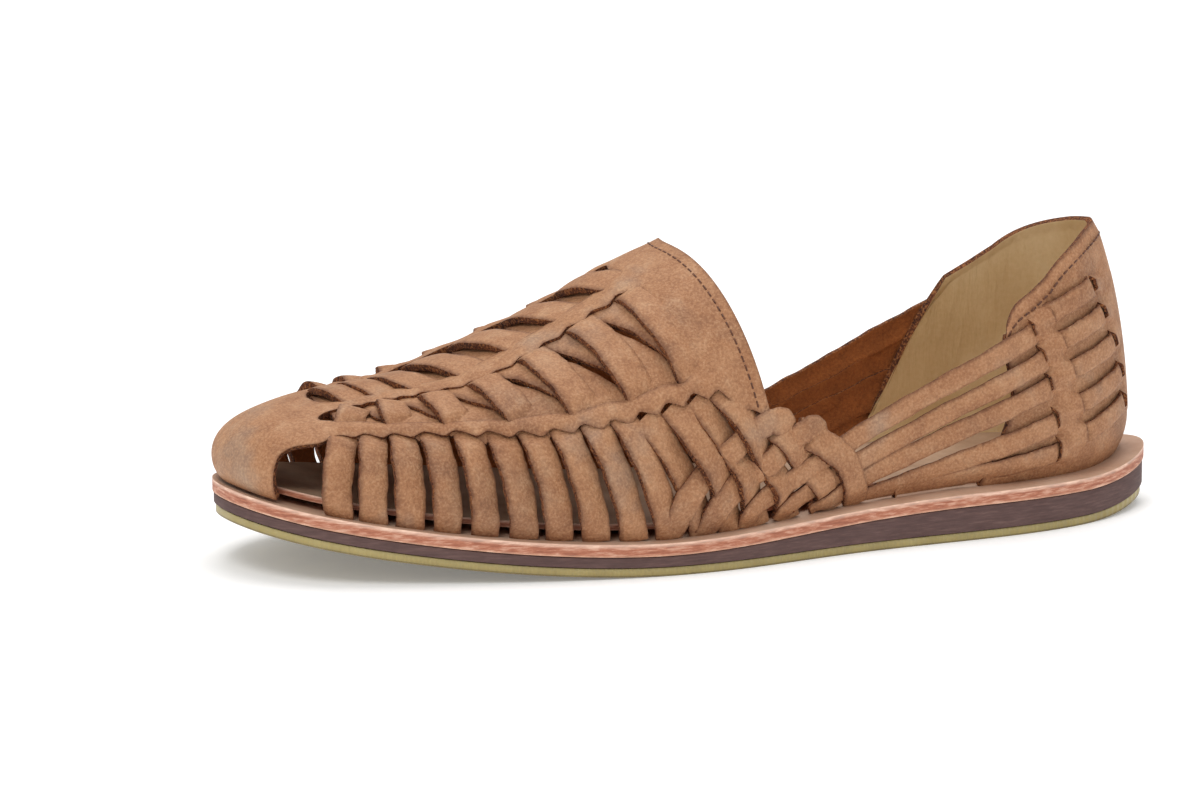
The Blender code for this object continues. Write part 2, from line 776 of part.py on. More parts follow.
def crossing(line_a, line_b):
    """Share of the way along line a where it meets line b, or None."""
    samples = 24
    paths = [np.column_stack(along_line(line, samples, 1)) for line in (line_a, line_b)]
    for i in range(samples):
        a = paths[0][i]
        run_a = paths[0][i + 1] - a
        for k in range(samples):
            c = paths[1][k]
            run_c = paths[1][k + 1] - c
            system = np.column_stack([run_a, -run_c])
            if abs(np.linalg.det(system)) < 1e-12:
                continue
            here, there = np.linalg.solve(system, c - a)
            if 0 <= here <= 1 and 0 <= there <= 1:
                return (i + here) / samples
    return None


def weave_wave(place, index, is_falling):
    """Rise and dip of a strip: over and under in turn where it meets the others."""
    rising_count = len(RISING_STRIPS) + WOVEN_STRAPS
    if is_falling:
        own = falling_line(index)
        others = [rising_line(k) for k in range(rising_count)]
    else:
        own = rising_line(index)
        others = [falling_line(k) for k in range(len(FALLING_STRIPS))]
    marks = [(0.0, 0.0), (1.0, 0.0)]
    for k, other in enumerate(others):
        here = crossing(own, other)
        if here is not None and 0.03 < here < 0.97:
            odd = (index + k) % 2 == 1
            marks.append((here, 1.0 if odd == is_falling else -1.0))
    marks.sort()
    at = np.array([mark[0] for mark in marks])
    level = np.array([mark[1] for mark in marks])
    return WEAVE_WAVE * np.sin(np.interp(place, at, level) * np.pi / 2)


def weave_strip(index, side, is_falling):
    count = 7
    points = falling_line(index) if is_falling else rising_line(index)
    t, v = along_line(points, count, side)
    lift = SIDE_LIFT + weave_wave(np.linspace(0, 1, count + 1), index, is_falling)
    return surface_ribbon(t, v, WEAVE_WIDTH, lift)


def rear_strap(n, side):
    """A strap from the waist over the counter's front margin into its slit."""
    row = REAR_STRAPS[n]
    low_count = 5 if n < WOVEN_STRAPS else 3
    high_count = 6
    waist = rising_line(len(RISING_STRIPS) + n)
    t, v = along_line(waist, low_count, side)
    end = (SLIT_ALONG[n] + STRAP_INTO_SLIT, row[5])
    t_high, v_high = along_line([waist[-1], end], high_count, side)
    lift = np.full(low_count + 1, SIDE_LIFT)
    if n < WOVEN_STRAPS:
        wave = weave_wave(np.linspace(0, 1, low_count + 1), len(RISING_STRIPS) + n, False)
        lift = lift + wave
    over = np.clip((t_high - t_high[-1] + COUNTER_MARGIN + 0.006) / 0.008, 0, 1)
    high = SIDE_LIFT + (OVER_COUNTER - SIDE_LIFT) * over
    t = np.concatenate([t, t_high[1:]])
    v = np.concatenate([v, v_high[1:]])
    lift = np.concatenate([lift, high[1:]])
    place = np.linspace(0, 1, len(t))
    lift, thickness = tucked_ends(place, lift, COUNTER_LIFT, False, True, 0.10)
    return surface_ribbon(t, v, STRAP_WIDTH, lift, thickness)


def shown_strap(n, side):
    """The piece of a strap that shows on the counter between its two bridges."""
    row = REAR_STRAPS[n]
    points = [(BRIDGE_REAR_ALONG[n], row[6]), (SHOWN_END_ALONG[n], row[7])]
    t, v = along_line(points, 4, side)
    place = np.linspace(0, 1, 5)
    lift = np.full(5, SHOWN_LIFT)
    lift, thickness = tucked_ends(place, lift, COUNTER_LIFT, True, True, 0.15)
    return surface_ribbon(t, v, STRAP_WIDTH, lift, thickness)


def counter_mesh():
    """Heel counter, one sheet round the heel between sole and topline."""
    levels = np.linspace(0, 1, 5)
    shares = np.linspace(0, 1, 8)
    half_in = []
    half_out = []
    for share in shares:
        row_t = []
        row_v = []
        for level in levels:
            girth = 1.0
            along = 0.0
            for _ in range(4):
                front = float(through_table(girth, COUNTER_FRONT, 1))
                along = front + (HEEL_ALONG - front) * share
                top = float(through_table(along, TOPLINE, 1))
                girth = FEATHER + (top - FEATHER) * level
            row_t.append(along * LENGTH)
            row_v.append(-girth)
        row_t = np.minimum(np.array(row_t), HEEL_T)
        half_in.append(skin(row_t, np.array(row_v), COUNTER_LIFT))
        half_out.append(skin(row_t, np.array(row_v), COUNTER_LIFT + LEATHER))
        last_row = (row_t, np.array(row_v))
        half_in[-1] = (half_in[-1], skin(row_t, -np.array(row_v), COUNTER_LIFT))
        half_out[-1] = (half_out[-1], skin(row_t, -np.array(row_v), COUNTER_LIFT + LEATHER))
    sheets = []
    for half in (half_in, half_out):
        lateral = [pair[0] for pair in half]
        medial = [pair[1] for pair in half]
        middle = 0.5 * (lateral[-1] + medial[-1])
        sheets.append(np.array(lateral[:-1] + [middle] + medial[:-1][::-1]))
    keep = np.ones((sheets[0].shape[0] - 1, sheets[0].shape[1] - 1), bool)
    return shell_mesh(sheets[0], sheets[1], keep)


def foot_line(count, inward):
    """Closed line along the last's feather edge, moved inward in plan."""
    half = count // 2
    share = np.linspace(0, 1, half + 1)
    t = TOE_T + (HEEL_T - TOE_T) * share
    lateral = last_point(t, -np.ones(half + 1))[:, :2]
    medial = last_point(t, np.ones(half + 1))[:, :2]
    ring = np.concatenate([lateral, medial[1:-1][::-1]])
    fine = resample(ring, 400)
    moved = inset(fine, np.full(len(fine), inward), 5)
    return resample(moved, count)


def resample(ring, count):
    step = np.linalg.norm(np.roll(ring, -1, axis=0) - ring, axis=1)
    arc = np.concatenate([[0.0], np.cumsum(step)])
    closed = np.concatenate([ring, ring[:1]])
    at = np.arange(count) / count * arc[-1]
    return np.column_stack([np.interp(at, arc, closed[:, k]) for k in (0, 1)])


def ring_stack(rings):
    """Faces between closed rings of equal count, one above the other or nested."""
    count = len(rings[0])
    vertices = np.concatenate(rings)
    faces = []
    for k in range(len(rings) - 1):
        for i in range(count):
            j = (i + 1) % count
            a, b = k * count, (k + 1) * count
            faces.append((a + i, a + j, b + j, b + i))
    return vertices, faces


def at_height(line, height):
    return np.column_stack([line, height])


def margin_mesh():
    """Lasting margin: the leather turned in under the footbed, all round."""
    count = 48
    outer = foot_line(count, -LEATHER * 0.6)
    inner = foot_line(count, MARGIN_WIDTH)
    rings = []
    for line, rise in ((outer, 0.0), (outer, MARGIN_THICKNESS), (inner, MARGIN_THICKNESS), (inner, 0.0)):
        rings.append(at_height(line, platform_top(line[:, 0]) + LAYER_GAP + rise))
    rings.append(rings[0])
    vertices, faces = ring_stack(rings)
    wrap = 4 * count
    faces = [tuple(a - wrap if a >= wrap else a for a in face) for face in faces]
    return vertices[:wrap], faces


def plate_mesh(outline, bottom, top, count=40):
    """Plate with a given outline between two heights that depend on x only."""
    first = int(np.argmin(outline[:, 0]))
    turned = np.roll(outline, -first, axis=0)
    heel = int(np.argmax(turned[:, 0]))
    lateral = turned[: heel + 1]
    medial = np.concatenate([turned[heel:], turned[:1]])[::-1]
    span = turned[heel, 0] - turned[0, 0]
    x = turned[0, 0] + span * (1 - np.cos(np.linspace(0, np.pi, count))) / 2
    y_lateral = np.interp(x, lateral[:, 0], lateral[:, 1])
    y_medial = np.interp(x, medial[:, 0], medial[:, 1])
    low, high = bottom(x), top(x)
    vertices = [(x[0], y_lateral[0], low[0]), (x[0], y_lateral[0], high[0])]
    faces = []
    for i in range(1, count - 1):
        base = len(vertices)
        vertices.extend(
            [
                (x[i], y_lateral[i], low[i]),
                (x[i], y_medial[i], low[i]),
                (x[i], y_medial[i], high[i]),
                (x[i], y_lateral[i], high[i]),
            ]
        )
        if i > 1:
            p = base - 4
            for a in range(4):
                b = (a + 1) % 4
                faces.append((p + a, base + a, base + b, p + b))
    faces.extend([(0, 2, 3), (1, 4, 5), (0, 1, 5, 2), (0, 3, 4, 1)])
    e = len(vertices)
    vertices.extend([(x[-1], y_lateral[-1], low[-1]), (x[-1], y_lateral[-1], high[-1])])
    p = e - 4
    faces.extend([(e, p + 1, p), (e + 1, p + 3, p + 2), (e, p, p + 3, e + 1), (e, e + 1, p + 2, p + 1)])
    return vertices, faces


def outsole_top(x):
    return tread_z(x) + OUTSOLE_THICKNESS


def midsole_bottom(x):
    return outsole_top(x) + LAYER_GAP


def midsole_top(x):
    return midsole_bottom(x) + midsole_thickness(x)


def platform_bottom(x):
    return midsole_top(x) + LAYER_GAP


def insole_bottom(x):
    return platform_top(x) + LAYER_GAP + MARGIN_THICKNESS + LAYER_GAP


def insole_top(x):
    return insole_bottom(x) + INSOLE_THICKNESS


def pad_bottom(x):
    return platform_top(x) + LAYER_GAP


def pad_top(x):
    return insole_bottom(x) + INSOLE_THICKNESS / 2


def outward(item):
    """Turn every face of a closed body outward."""
    body = bmesh.new()
    body.from_mesh(item.data)
    bmesh.ops.remove_doubles(body, verts=body.verts, dist=1e-7)
    bmesh.ops.recalc_face_normals(body, faces=body.faces)
    bmesh.ops.triangulate(body, faces=body.faces)
    if body.calc_volume(signed=True) < 0:
        bmesh.ops.reverse_faces(body, faces=body.faces)
    body.to_mesh(item.data)
    body.free()


def faces_by_body(body):
    """The faces of each separate closed surface of a mesh."""
    waiting = set(body.faces)
    groups = []
    while waiting:
        queue = [waiting.pop()]
        group = []
        while queue:
            face = queue.pop()
            group.append(face)
            for edge in face.edges:
                for other in edge.link_faces:
                    if other in waiting:
                        waiting.remove(other)
                        queue.append(other)
        groups.append(group)
    return groups


def without_bubbles(mesh):
    """Keep the largest surface: the others are bubbles sealed between crossed strips."""
    body = bmesh.new()
    body.from_mesh(mesh)
    groups = sorted(faces_by_body(body), key=len)
    spare = [face for group in groups[:-1] for face in group]
    bmesh.ops.delete(body, geom=spare, context="FACES")
    bmesh.ops.triangulate(body, faces=body.faces)
    body.to_mesh(mesh)
    body.free()


def united(items, name, main, solver="EXACT"):
    """One solid from overlapping pieces: the first takes all the others."""
    base = items[0]
    group = bpy.data.collections.new(name + "_pieces")
    bpy.context.scene.collection.children.link(group)
    for item in items[1:]:
        main.objects.unlink(item)
        group.objects.link(item)
    join = base.modifiers.new("join", "BOOLEAN")
    join.operation = "UNION"
    join.operand_type = "COLLECTION"
    join.collection = group
    join.solver = solver
    ready = base.evaluated_get(bpy.context.evaluated_depsgraph_get())
    mesh = bpy.data.meshes.new_from_object(ready)
    without_bubbles(mesh)
    base.modifiers.clear()
    base.data = mesh
    for item in items[1:]:
        bpy.data.objects.remove(item, do_unlink=True)
    bpy.data.collections.remove(group)
    base.name = name
    return base


def build_upper(main, hide):
    pieces = [vamp_mesh(), counter_mesh(), margin_mesh()]
    for side in (-1, 1):
        for i in range(STRIP_COUNT):
            pieces.append(side_strip(i, side))
            pieces.append(web_strip(i, side))
        for index in range(STRIP_COUNT - SIDE_STRIPS, len(FALLING_STRIPS)):
            pieces.append(weave_strip(index, side, True))
        for index in range(len(RISING_STRIPS)):
            pieces.append(weave_strip(index, side, False))
        for n in range(len(REAR_STRAPS)):
            pieces.append(rear_strap(n, side))
            pieces.append(shown_strap(n, side))
    pieces.extend(ridge_pieces())
    items = []
    for number, (vertices, faces) in enumerate(pieces):
        item = mesh_object("leather_%02d" % number, vertices, faces, hide, main)
        outward(item)
        items.append(item)
    upper = united(items, "upper", main, "MANIFOLD")
    thin = upper.modifiers.new("thin_out", "DECIMATE")
    thin.ratio = UPPER_DETAIL
    return upper


def build():
    clear_scene()
    scene = bpy.context.scene
    main = bpy.data.collections.new("huarache_sandal")
    scene.collection.children.link(main)

    hide = make_material("hide_tan", HIDE_TAN, 0.75)
    natural = make_material("natural_leather", NATURAL_TAN, 0.6)
    rubber = make_material("dark_rubber", DARK_RUBBER, 0.7)
    gum = make_material("gum_rubber", GUM, 0.5)
    footbed = make_material("footbed_leather", FOOTBED_BEIGE, 0.7)

    outline, _ = sole_outline()
    layers = (
        ("outsole", OUTSOLE_INSET, tread_z, outsole_top, gum),
        ("midsole", MIDSOLE_INSET, midsole_bottom, midsole_top, rubber),
        ("platform", 0.0, platform_bottom, platform_top, natural),
    )
    for name, inward, bottom, top, material in layers:
        line = inset(outline, np.full(len(outline), inward))
        vertices, faces = plate_mesh(line, bottom, top)
        outward(mesh_object(name, vertices, faces, material, main))

    sheet_line = foot_line(400, INSOLE_CLEARANCE)
    pad_line = foot_line(400, MARGIN_WIDTH + INSOLE_CLEARANCE)
    sheet = mesh_object("insole", *plate_mesh(sheet_line, insole_bottom, insole_top), footbed, main)
    pad = mesh_object("insole_pad", *plate_mesh(pad_line, pad_bottom, pad_top), footbed, main)
    outward(sheet)
    outward(pad)
    united([sheet, pad], "insole", main, "MANIFOLD")

    build_upper(main, hide)


build()
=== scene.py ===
# Huarache sandal, left shoe: the look of the woven upper, footbed and layered sole.
# X runs from toe to heel, -Y is the outer (lateral) side, +Z is up. Metres.
from contextlib import contextmanager

import bpy
import numpy as np
from mathutils import Matrix, Vector
from mathutils.bvhtree import BVHTree


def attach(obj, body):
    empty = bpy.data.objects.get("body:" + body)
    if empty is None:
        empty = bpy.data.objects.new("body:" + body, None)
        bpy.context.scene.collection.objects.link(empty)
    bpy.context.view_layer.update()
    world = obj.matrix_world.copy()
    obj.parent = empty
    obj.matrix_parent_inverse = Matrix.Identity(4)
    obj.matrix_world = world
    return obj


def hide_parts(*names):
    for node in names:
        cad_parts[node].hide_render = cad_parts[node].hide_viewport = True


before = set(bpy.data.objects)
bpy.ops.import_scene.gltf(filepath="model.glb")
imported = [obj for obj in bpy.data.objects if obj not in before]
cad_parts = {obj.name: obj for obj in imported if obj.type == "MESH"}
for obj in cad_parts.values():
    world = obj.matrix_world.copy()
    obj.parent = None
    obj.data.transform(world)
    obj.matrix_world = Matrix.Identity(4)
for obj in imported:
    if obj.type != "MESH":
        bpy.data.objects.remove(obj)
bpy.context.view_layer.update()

# Overall sizes, in metres
LENGTH = 0.292
BALL_WIDTH = 0.1015
# The curved last's lines lie this far to the inner side of the middle of the sole's box
SIDE_SHIFT = 0.0166 * BALL_WIDTH
INSTEP_HEIGHT = 0.0875
TOE_SPRING = 0.0155
HEEL_LIFT = 0.001
ROCKER_START = -0.0685 * LENGTH
ROCKER_POWER = 1.85
HEEL_ROCK_START = 0.394 * LENGTH

# Layers of the sole
OUTSOLE_THICKNESS = 0.0026
BALL_MIDSOLE = 0.0030
HEEL_MIDSOLE = 0.0074
PLATFORM_THICKNESS = 0.0038
LAYER_GAP = 0.0003
WEDGE_START = -0.103 * LENGTH
WEDGE_END = 0.274 * LENGTH
MIDSOLE_INSET = 0.0004
OUTSOLE_INSET = 0.0010

# Leather of the upper
LEATHER = 0.0020
STRIP_WIDTH = 0.0076
WIDE_STRIP = 0.0100
NARROW_WEB_STRIP = 0.0082
STRAP_WIDTH = 0.0068
WEAVE_WIDTH = 0.0082
MARGIN_THICKNESS = 0.0016

# Footbed
INSOLE_THICKNESS = 0.0020
INSOLE_CLEARANCE = 0.0027

# How far the inner face of each leather layer stands off the last
SIDE_LIFT = 0.0003
BAND_LIFT = 0.0006
WIDE_LIFT = 0.0016
WEB_UNDER = -0.0006
RIDGE_UNDER = -0.0009
ARC_RISE = 0.0022
COUNTER_LIFT = 0.0000
OVER_COUNTER = 0.0022
SHOWN_LIFT = 0.0012
WEAVE_WAVE = 0.0012

# The last: plan reach of the two fans of planes that round toe and heel
FAN_TOE_X = -0.3425 * LENGTH
FAN_HEEL_X = 0.3630 * LENGTH
FAN_TOE = 0.2260 * LENGTH
FAN_HEEL = 0.1986 * LENGTH
FAN_BLEND = 0.0411 * LENGTH
TUCK = 0.0035
TUCK_HEIGHT = 0.011
SKIN_FOOT = 0.0007

# Sole outline. along: share of length from the toe. across: share of ball width.
SOLE_OUTLINE = (
    # along, across
    (0.000, 0.045),
    (0.045, -0.245),
    (0.170, -0.405),
    (0.330, -0.500),
    (0.480, -0.513),
    (0.640, -0.425),
    (0.840, -0.355),
    (0.960, -0.195),
    (1.000, 0.000),
    (0.960, 0.195),
    (0.850, 0.340),
    (0.620, 0.315),
    (0.440, 0.395),
    (0.280, 0.487),
    (0.150, 0.440),
    (0.045, 0.290),
)
HEEL_ROW = 8

# Sections of the last. along: share of length from the middle.
# ridge: height of the ridge as a share of instep height. roundness: power of the
# section's curve. ledge: bare sole beyond the upper, share of ball width.
# side: ridge line's offset to the inner side, share of ball width.
LAST_SECTIONS = (
    # along, ridge, roundness, ledge, side
    (-0.500, 0.560, 2.50, 0.012, 0.049),
    (-0.411, 0.538, 2.50, 0.024, 0.049),
    (-0.308, 0.572, 2.40, 0.030, 0.044),
    (-0.188, 0.720, 2.25, 0.032, 0.039),
    (-0.041, 0.972, 2.10, 0.040, 0.030),
    (0.103, 1.170, 2.20, 0.059, 0.020),
    (0.257, 1.257, 2.50, 0.069, 0.005),
    (0.370, 1.257, 2.40, 0.069, 0.000),
    (0.500, 1.177, 2.00, 0.069, 0.000),
)

# Edges of the four long bands of the vamp. along: share of length from the middle.
# The rest: girth share, 0 on the ridge and 1 at the feather edge of the sole.
BANDS = (
    # along, a_low, a_top, b_low, b_top
    (-0.568, 0.620, 0.420, 0.330, 0.200),
    (-0.475, 0.615, 0.400, 0.305, 0.185),
    (-0.435, 0.560, 0.392, 0.255, 0.155),
    (-0.420, 0.505, 0.393, 0.235, 0.145),
    (-0.388, 0.487, 0.400, 0.205, 0.120),
    (-0.345, 0.495, 0.424, 0.188, 0.105),
    (-0.310, 0.508, 0.450, 0.198, 0.125),
    (-0.2835, 0.531, 0.478, 0.218, 0.142),
    (-0.250, 0.573, 0.518, 0.244, 0.150),
    (-0.2146, 0.608, 0.548, 0.238, 0.138),
    (-0.160, 0.634, 0.583, 0.212, 0.122),
    (-0.127, 0.648, 0.594, 0.200, 0.112),
    (-0.080, 0.648, 0.602, 0.192, 0.102),
    (-0.026, 0.660, 0.615, 0.190, 0.098),
    (0.024, 0.755, 0.640, 0.190, 0.095),
)
WINDOW_START = -0.462
FEATHER = 1.0

# Cross strips, from the toe: strip i climbs from the sole at its foot, dives under
# band A at its slit and reaches band B. Two pitches, one at the sole, one at band A.
STRIP_COUNT = 14
SIDE_STRIPS = 10
FOOT_START = -0.4125
FOOT_PITCH = 0.0369
SLIT_START = -0.413
SLIT_PITCH_TOE = 0.0350
SLIT_PITCH_THROAT = 0.0262
PAIRS = 7
WIDE_AT_B_START = -0.409
WIDE_AT_B_PITCH = 0.0540
NARROW_AT_B = -0.0257
ARC_FROM_WIDE = 0.0080
ARC_SHIFT = -0.0420
ARC_BEND = 0.0020
ARC_FRONT_LIMIT = -0.470

# Waist weave, lateral side, mirrored to the medial side: four points along each strip.
# The falling strips go down toward the heel, the rising ones start from the sole.
FALLING_STRIPS = (
    # along_top, girth_top, along_upper, girth_upper, along_lower, girth_lower, along_foot
    (-0.1000, 0.655, -0.0636, 0.850, -0.0520, 0.925, -0.0450),
    (-0.0720, 0.650, -0.0264, 0.882, -0.0180, 0.940, -0.0130),
    (-0.0460, 0.650, -0.0215, 0.766, 0.0022, 0.885, 0.0180),
    (-0.0200, 0.650, 0.0206, 0.833, 0.0425, 0.924, 0.0545),
    (0.0320, 0.778, 0.0600, 0.862, 0.0917, 0.950, 0.1053),
    (0.0665, 0.826, 0.0950, 0.876, 0.1192, 0.925, 0.1340),
)
RISING_STRIPS = (
    # along_foot, along_lower, girth_lower, along_upper, girth_upper, along_top, girth_top
    (-0.0800, -0.0591, 0.892, -0.0085, 0.810, 0.0340, 0.780),
    (-0.0420, -0.0220, 0.920, 0.0309, 0.869, 0.0685, 0.826),
)

# Rear straps, from the sole in the waist up to the counter: two points in the weave,
# the slit in the counter's front, then the piece that shows between the two bridges.
REAR_STRAPS = (
    # foot, along_lower, girth_lower, along_waist, girth_waist, girth_slit, girth_rear, girth_end
    (0.0040, 0.0170, 0.953, 0.1242, 0.884, 0.735, 0.702, 0.624),
    (0.0436, 0.0536, 0.975, 0.1166, 0.936, 0.792, 0.764, 0.690),
    (0.0811, 0.1037, 0.986, 0.1544, 0.954, 0.848, 0.824, 0.758),
    (0.1360, 0.1500, 0.993, 0.1900, 0.984, 0.915, 0.890, 0.828),
    (0.1800, 0.2000, 0.997, 0.2400, 0.992, 0.966, 0.944, 0.893),
)
WOVEN_STRAPS = 3
COUNTER_MARGIN = 0.018
SLIT_ALONG = (0.334, 0.346, 0.353, 0.361, 0.366)
BRIDGE_REAR_ALONG = (0.360, 0.377, 0.392, 0.406, 0.414)
SHOWN_END_ALONG = (0.450, 0.468, 0.489, 0.502, 0.506)
HEEL_ALONG = 0.562

# Heel counter: its topline and its front edge
TOPLINE = (
    # along, girth
    (0.297, 0.745),
    (0.310, 0.700),
    (0.343, 0.644),
    (0.386, 0.571),
    (0.443, 0.504),
    (0.500, 0.460),
    (0.562, 0.438),
)
COUNTER_FRONT = (
    # girth, along
    (0.745, 0.297),
    (0.800, 0.306),
    (0.880, 0.312),
    (0.940, 0.300),
    (1.000, 0.277),
)


def column(table, index):
    return np.array([row[index] for row in table], float)


def run_along(line):
    """Length travelled along a line at each of its points."""
    return np.concatenate([[0.0], np.cumsum(np.linalg.norm(np.diff(line, axis=0), axis=1))])


def ease(share):
    """0 to 1 with a soft start and a soft end."""
    return share * share * (3 - 2 * share)


def shares(count):
    """Even shares from 0 to 1, with this many steps between them."""
    return np.linspace(0, 1, count + 1)


def hermite(u, width, start, end, slope_in, slope_out):
    """Cubic between two values, with a slope at each."""
    return (
        (1 + 2 * u) * (1 - u) ** 2 * start
        + u * (1 - u) ** 2 * width * slope_in
        + u * u * (3 - 2 * u) * end
        + u * u * (u - 1) * width * slope_out
    )


def through_table(at, table, index, key=0):
    """Smooth curve through one column of a table, straight beyond its ends."""
    xs = column(table, key)
    ys = column(table, index)
    at = np.asarray(at, float)
    width = np.diff(xs)
    rate = np.diff(ys) / width
    inner = (rate[:-1] * width[1:] + rate[1:] * width[:-1]) / (width[:-1] + width[1:])
    slope = np.concatenate([rate[:1], inner, rate[-1:]])
    i = np.clip(np.searchsorted(xs, at, side="right") - 1, 0, len(xs) - 2)
    w = width[i]
    u = np.clip((at - xs[i]) / w, 0.0, 1.0)
    inside = hermite(u, w, ys[i], ys[i + 1], slope[i], slope[i + 1])
    before = np.minimum(at - xs[0], 0.0) * slope[0]
    after = np.maximum(at - xs[-1], 0.0) * slope[-1]
    return inside + before + after


def closed_spline(points, count):
    """Closed cubic spline through points; returns samples and the points' places."""
    chord = np.linalg.norm(np.roll(points, -1, axis=0) - points, axis=1) ** 0.6
    span = chord / chord.sum()
    knots = np.concatenate([[0.0], np.cumsum(span)[:-1]])
    n = len(points)
    rate = (np.roll(points, -1, axis=0) - points) / span[:, None]
    system = np.zeros((n, n))
    target = np.zeros_like(points)
    for i in range(n):
        before, after = span[i - 1], span[i]
        system[i, i - 1] = after
        system[i, i] = 2.0 * (before + after)
        system[i, (i + 1) % n] = before
        target[i] = 3.0 * (after * rate[i - 1] + before * rate[i])
    slope = np.linalg.solve(system, target)
    at = np.arange(count) / count
    i = np.clip(np.searchsorted(knots, at, side="right") - 1, 0, n - 1)
    u = ((at - knots[i]) / span[i])[:, None]
    w = span[i][:, None]
    j = (i + 1) % n
    return hermite(u, w, points[i], points[j], slope[i], slope[j]), knots


OUTLINE_SAMPLES = 720


def sole_outline():
    rows = np.array(SOLE_OUTLINE)
    across = rows[:, 1] * BALL_WIDTH + SIDE_SHIFT
    points = np.column_stack([(rows[:, 0] - 0.5) * LENGTH, across])
    return closed_spline(points, OUTLINE_SAMPLES)


def inset(curve, distance, reach=1):
    """Move a closed counter-clockwise outline inward by a distance per point."""
    tangent = np.roll(curve, -reach, axis=0) - np.roll(curve, reach, axis=0)
    tangent = tangent / np.linalg.norm(tangent, axis=1)[:, None]
    inward = np.column_stack([-tangent[:, 1], tangent[:, 0]])
    return curve + inward * np.reshape(distance, (-1, 1))


def tread_z(x):
    raised = np.clip((ROCKER_START - x) / (ROCKER_START + LENGTH / 2), 0, 1)
    toe = TOE_SPRING * raised ** ROCKER_POWER
    heel_run = LENGTH / 2 - HEEL_ROCK_START
    heel = HEEL_LIFT * (2 * np.clip((x - HEEL_ROCK_START) / heel_run, 0, 1)) ** 2
    return toe + heel


def midsole_thickness(x):
    share = ease(np.clip((x - WEDGE_START) / (WEDGE_END - WEDGE_START), 0, 1))
    return BALL_MIDSOLE + (HEEL_MIDSOLE - BALL_MIDSOLE) * share


def platform_top(x):
    gaps = 2 * LAYER_GAP
    return tread_z(x) + OUTSOLE_THICKNESS + midsole_thickness(x) + PLATFORM_THICKNESS + gaps


def upper_sides():
    """For each side the outline of the last as (t, point), t running toe to heel."""
    curve, knots = sole_outline()
    ledge = through_table(curve[:, 0] / LENGTH, LAST_SECTIONS, 3) * BALL_WIDTH
    foot = inset(curve, ledge)
    count = len(foot)
    heel = int(round(knots[HEEL_ROW] * count))
    lateral = np.arange(0, heel + 1)
    medial = np.concatenate([[0], np.arange(count - 1, heel - 1, -1)])
    sides = {}
    for side, index in ((-1, lateral), (1, medial)):
        line = foot[index]
        arc = run_along(line)
        front = arc < arc[-1] / 2
        toe_arc = arc[np.argmin(np.where(front, np.abs(line[:, 0] - FAN_TOE_X), 9))]
        heel_arc = arc[np.argmin(np.where(~front, np.abs(line[:, 0] - FAN_HEEL_X), 9))]
        toe_t = FAN_TOE_X - FAN_TOE * (1 - arc / toe_arc)
        heel_t = FAN_HEEL_X + FAN_HEEL * (arc - heel_arc) / (arc[-1] - heel_arc)
        t = np.where(arc < toe_arc, toe_t, np.where(arc > heel_arc, heel_t, line[:, 0]))
        sides[side] = (t, line)
    return sides


SIDES = upper_sides()
TOE_T = FAN_TOE_X - FAN_TOE
HEEL_T = FAN_HEEL_X + FAN_HEEL


def soft_clamp(x, low, high):
    rise = np.log1p(np.exp(np.clip((x - low) / FAN_BLEND, -40, 40)))
    a = low + FAN_BLEND * rise
    fall = np.log1p(np.exp(np.clip((high - a) / FAN_BLEND, -40, 40)))
    return high - FAN_BLEND * fall


def last_point(t, v):
    """Point of the last. t: along its outline, v: -1 lateral edge, 0 ridge, 1 medial."""
    t, v = np.broadcast_arrays(np.asarray(t, float), np.asarray(v, float))
    ox = np.empty(t.shape)
    oy = np.empty(t.shape)
    for side in (-1, 1):
        along, line = SIDES[side]
        here = (v < 0) if side < 0 else (v >= 0)
        ox[here] = np.interp(t[here], along, line[:, 0])
        oy[here] = np.interp(t[here], along, line[:, 1])
    sx = soft_clamp(ox, FAN_TOE_X, FAN_HEEL_X)
    sy = through_table(sx / LENGTH, LAST_SECTIONS, 4) * BALL_WIDTH + SIDE_SHIFT
    angle = np.clip(1 - np.abs(v), 0, 1) * np.pi / 2
    power = 2 / through_table(ox / LENGTH, LAST_SECTIONS, 2)
    out = np.clip(np.cos(angle), 0, 1) ** power
    up = np.sin(angle) ** power
    foot = platform_top(ox) + SKIN_FOOT
    x = sx + (ox - sx) * out
    ridge = through_table(x / LENGTH, LAST_SECTIONS, 1) * INSTEP_HEIGHT
    z = foot + (ridge - foot) * up
    low = np.clip(1 - (z - foot) / TUCK_HEIGHT, 0, 1)
    reach = np.hypot(ox - sx, oy - sy)
    shrink = 1 - TUCK * low ** 2 / reach
    x = sx + (ox - sx) * out * shrink
    y = sy + (oy - sy) * out * shrink
    return np.stack([x, y, z], axis=-1)


def last_frame(t, v):
    """Point, outward normal, and stretch of one unit of t and of v."""
    t, v = np.broadcast_arrays(np.asarray(t, float), np.asarray(v, float))
    point = last_point(t, v)
    side = np.where(v < 0, -1.0, 1.0)
    inner = side * np.clip(np.abs(v), 0.02, 0.99)
    step_t = 0.0005
    step_v = 0.004
    along = last_point(t + step_t, inner) - last_point(t - step_t, inner)
    around = last_point(t, inner + step_v) - last_point(t, inner - step_v)
    normal = np.cross(along, around)
    level = np.clip((1 - np.abs(v)) / 0.10, 0, 1)
    normal[..., 2] = normal[..., 2] * level
    normal = normal / np.maximum(np.linalg.norm(normal, axis=-1, keepdims=True), 1e-12)
    stretch_t = np.linalg.norm(along, axis=-1) / (2 * step_t)
    stretch_v = np.linalg.norm(around, axis=-1) / (2 * step_v)
    return point, normal, stretch_t, stretch_v


def skin(t, v, lift):
    point, normal, _, _ = last_frame(t, v)
    return point + normal * np.broadcast_to(lift, point.shape[:-1])[..., None]


def band_edge(t, which):
    return through_table(np.asarray(t) / LENGTH, BANDS, BAND_COLUMNS[which])


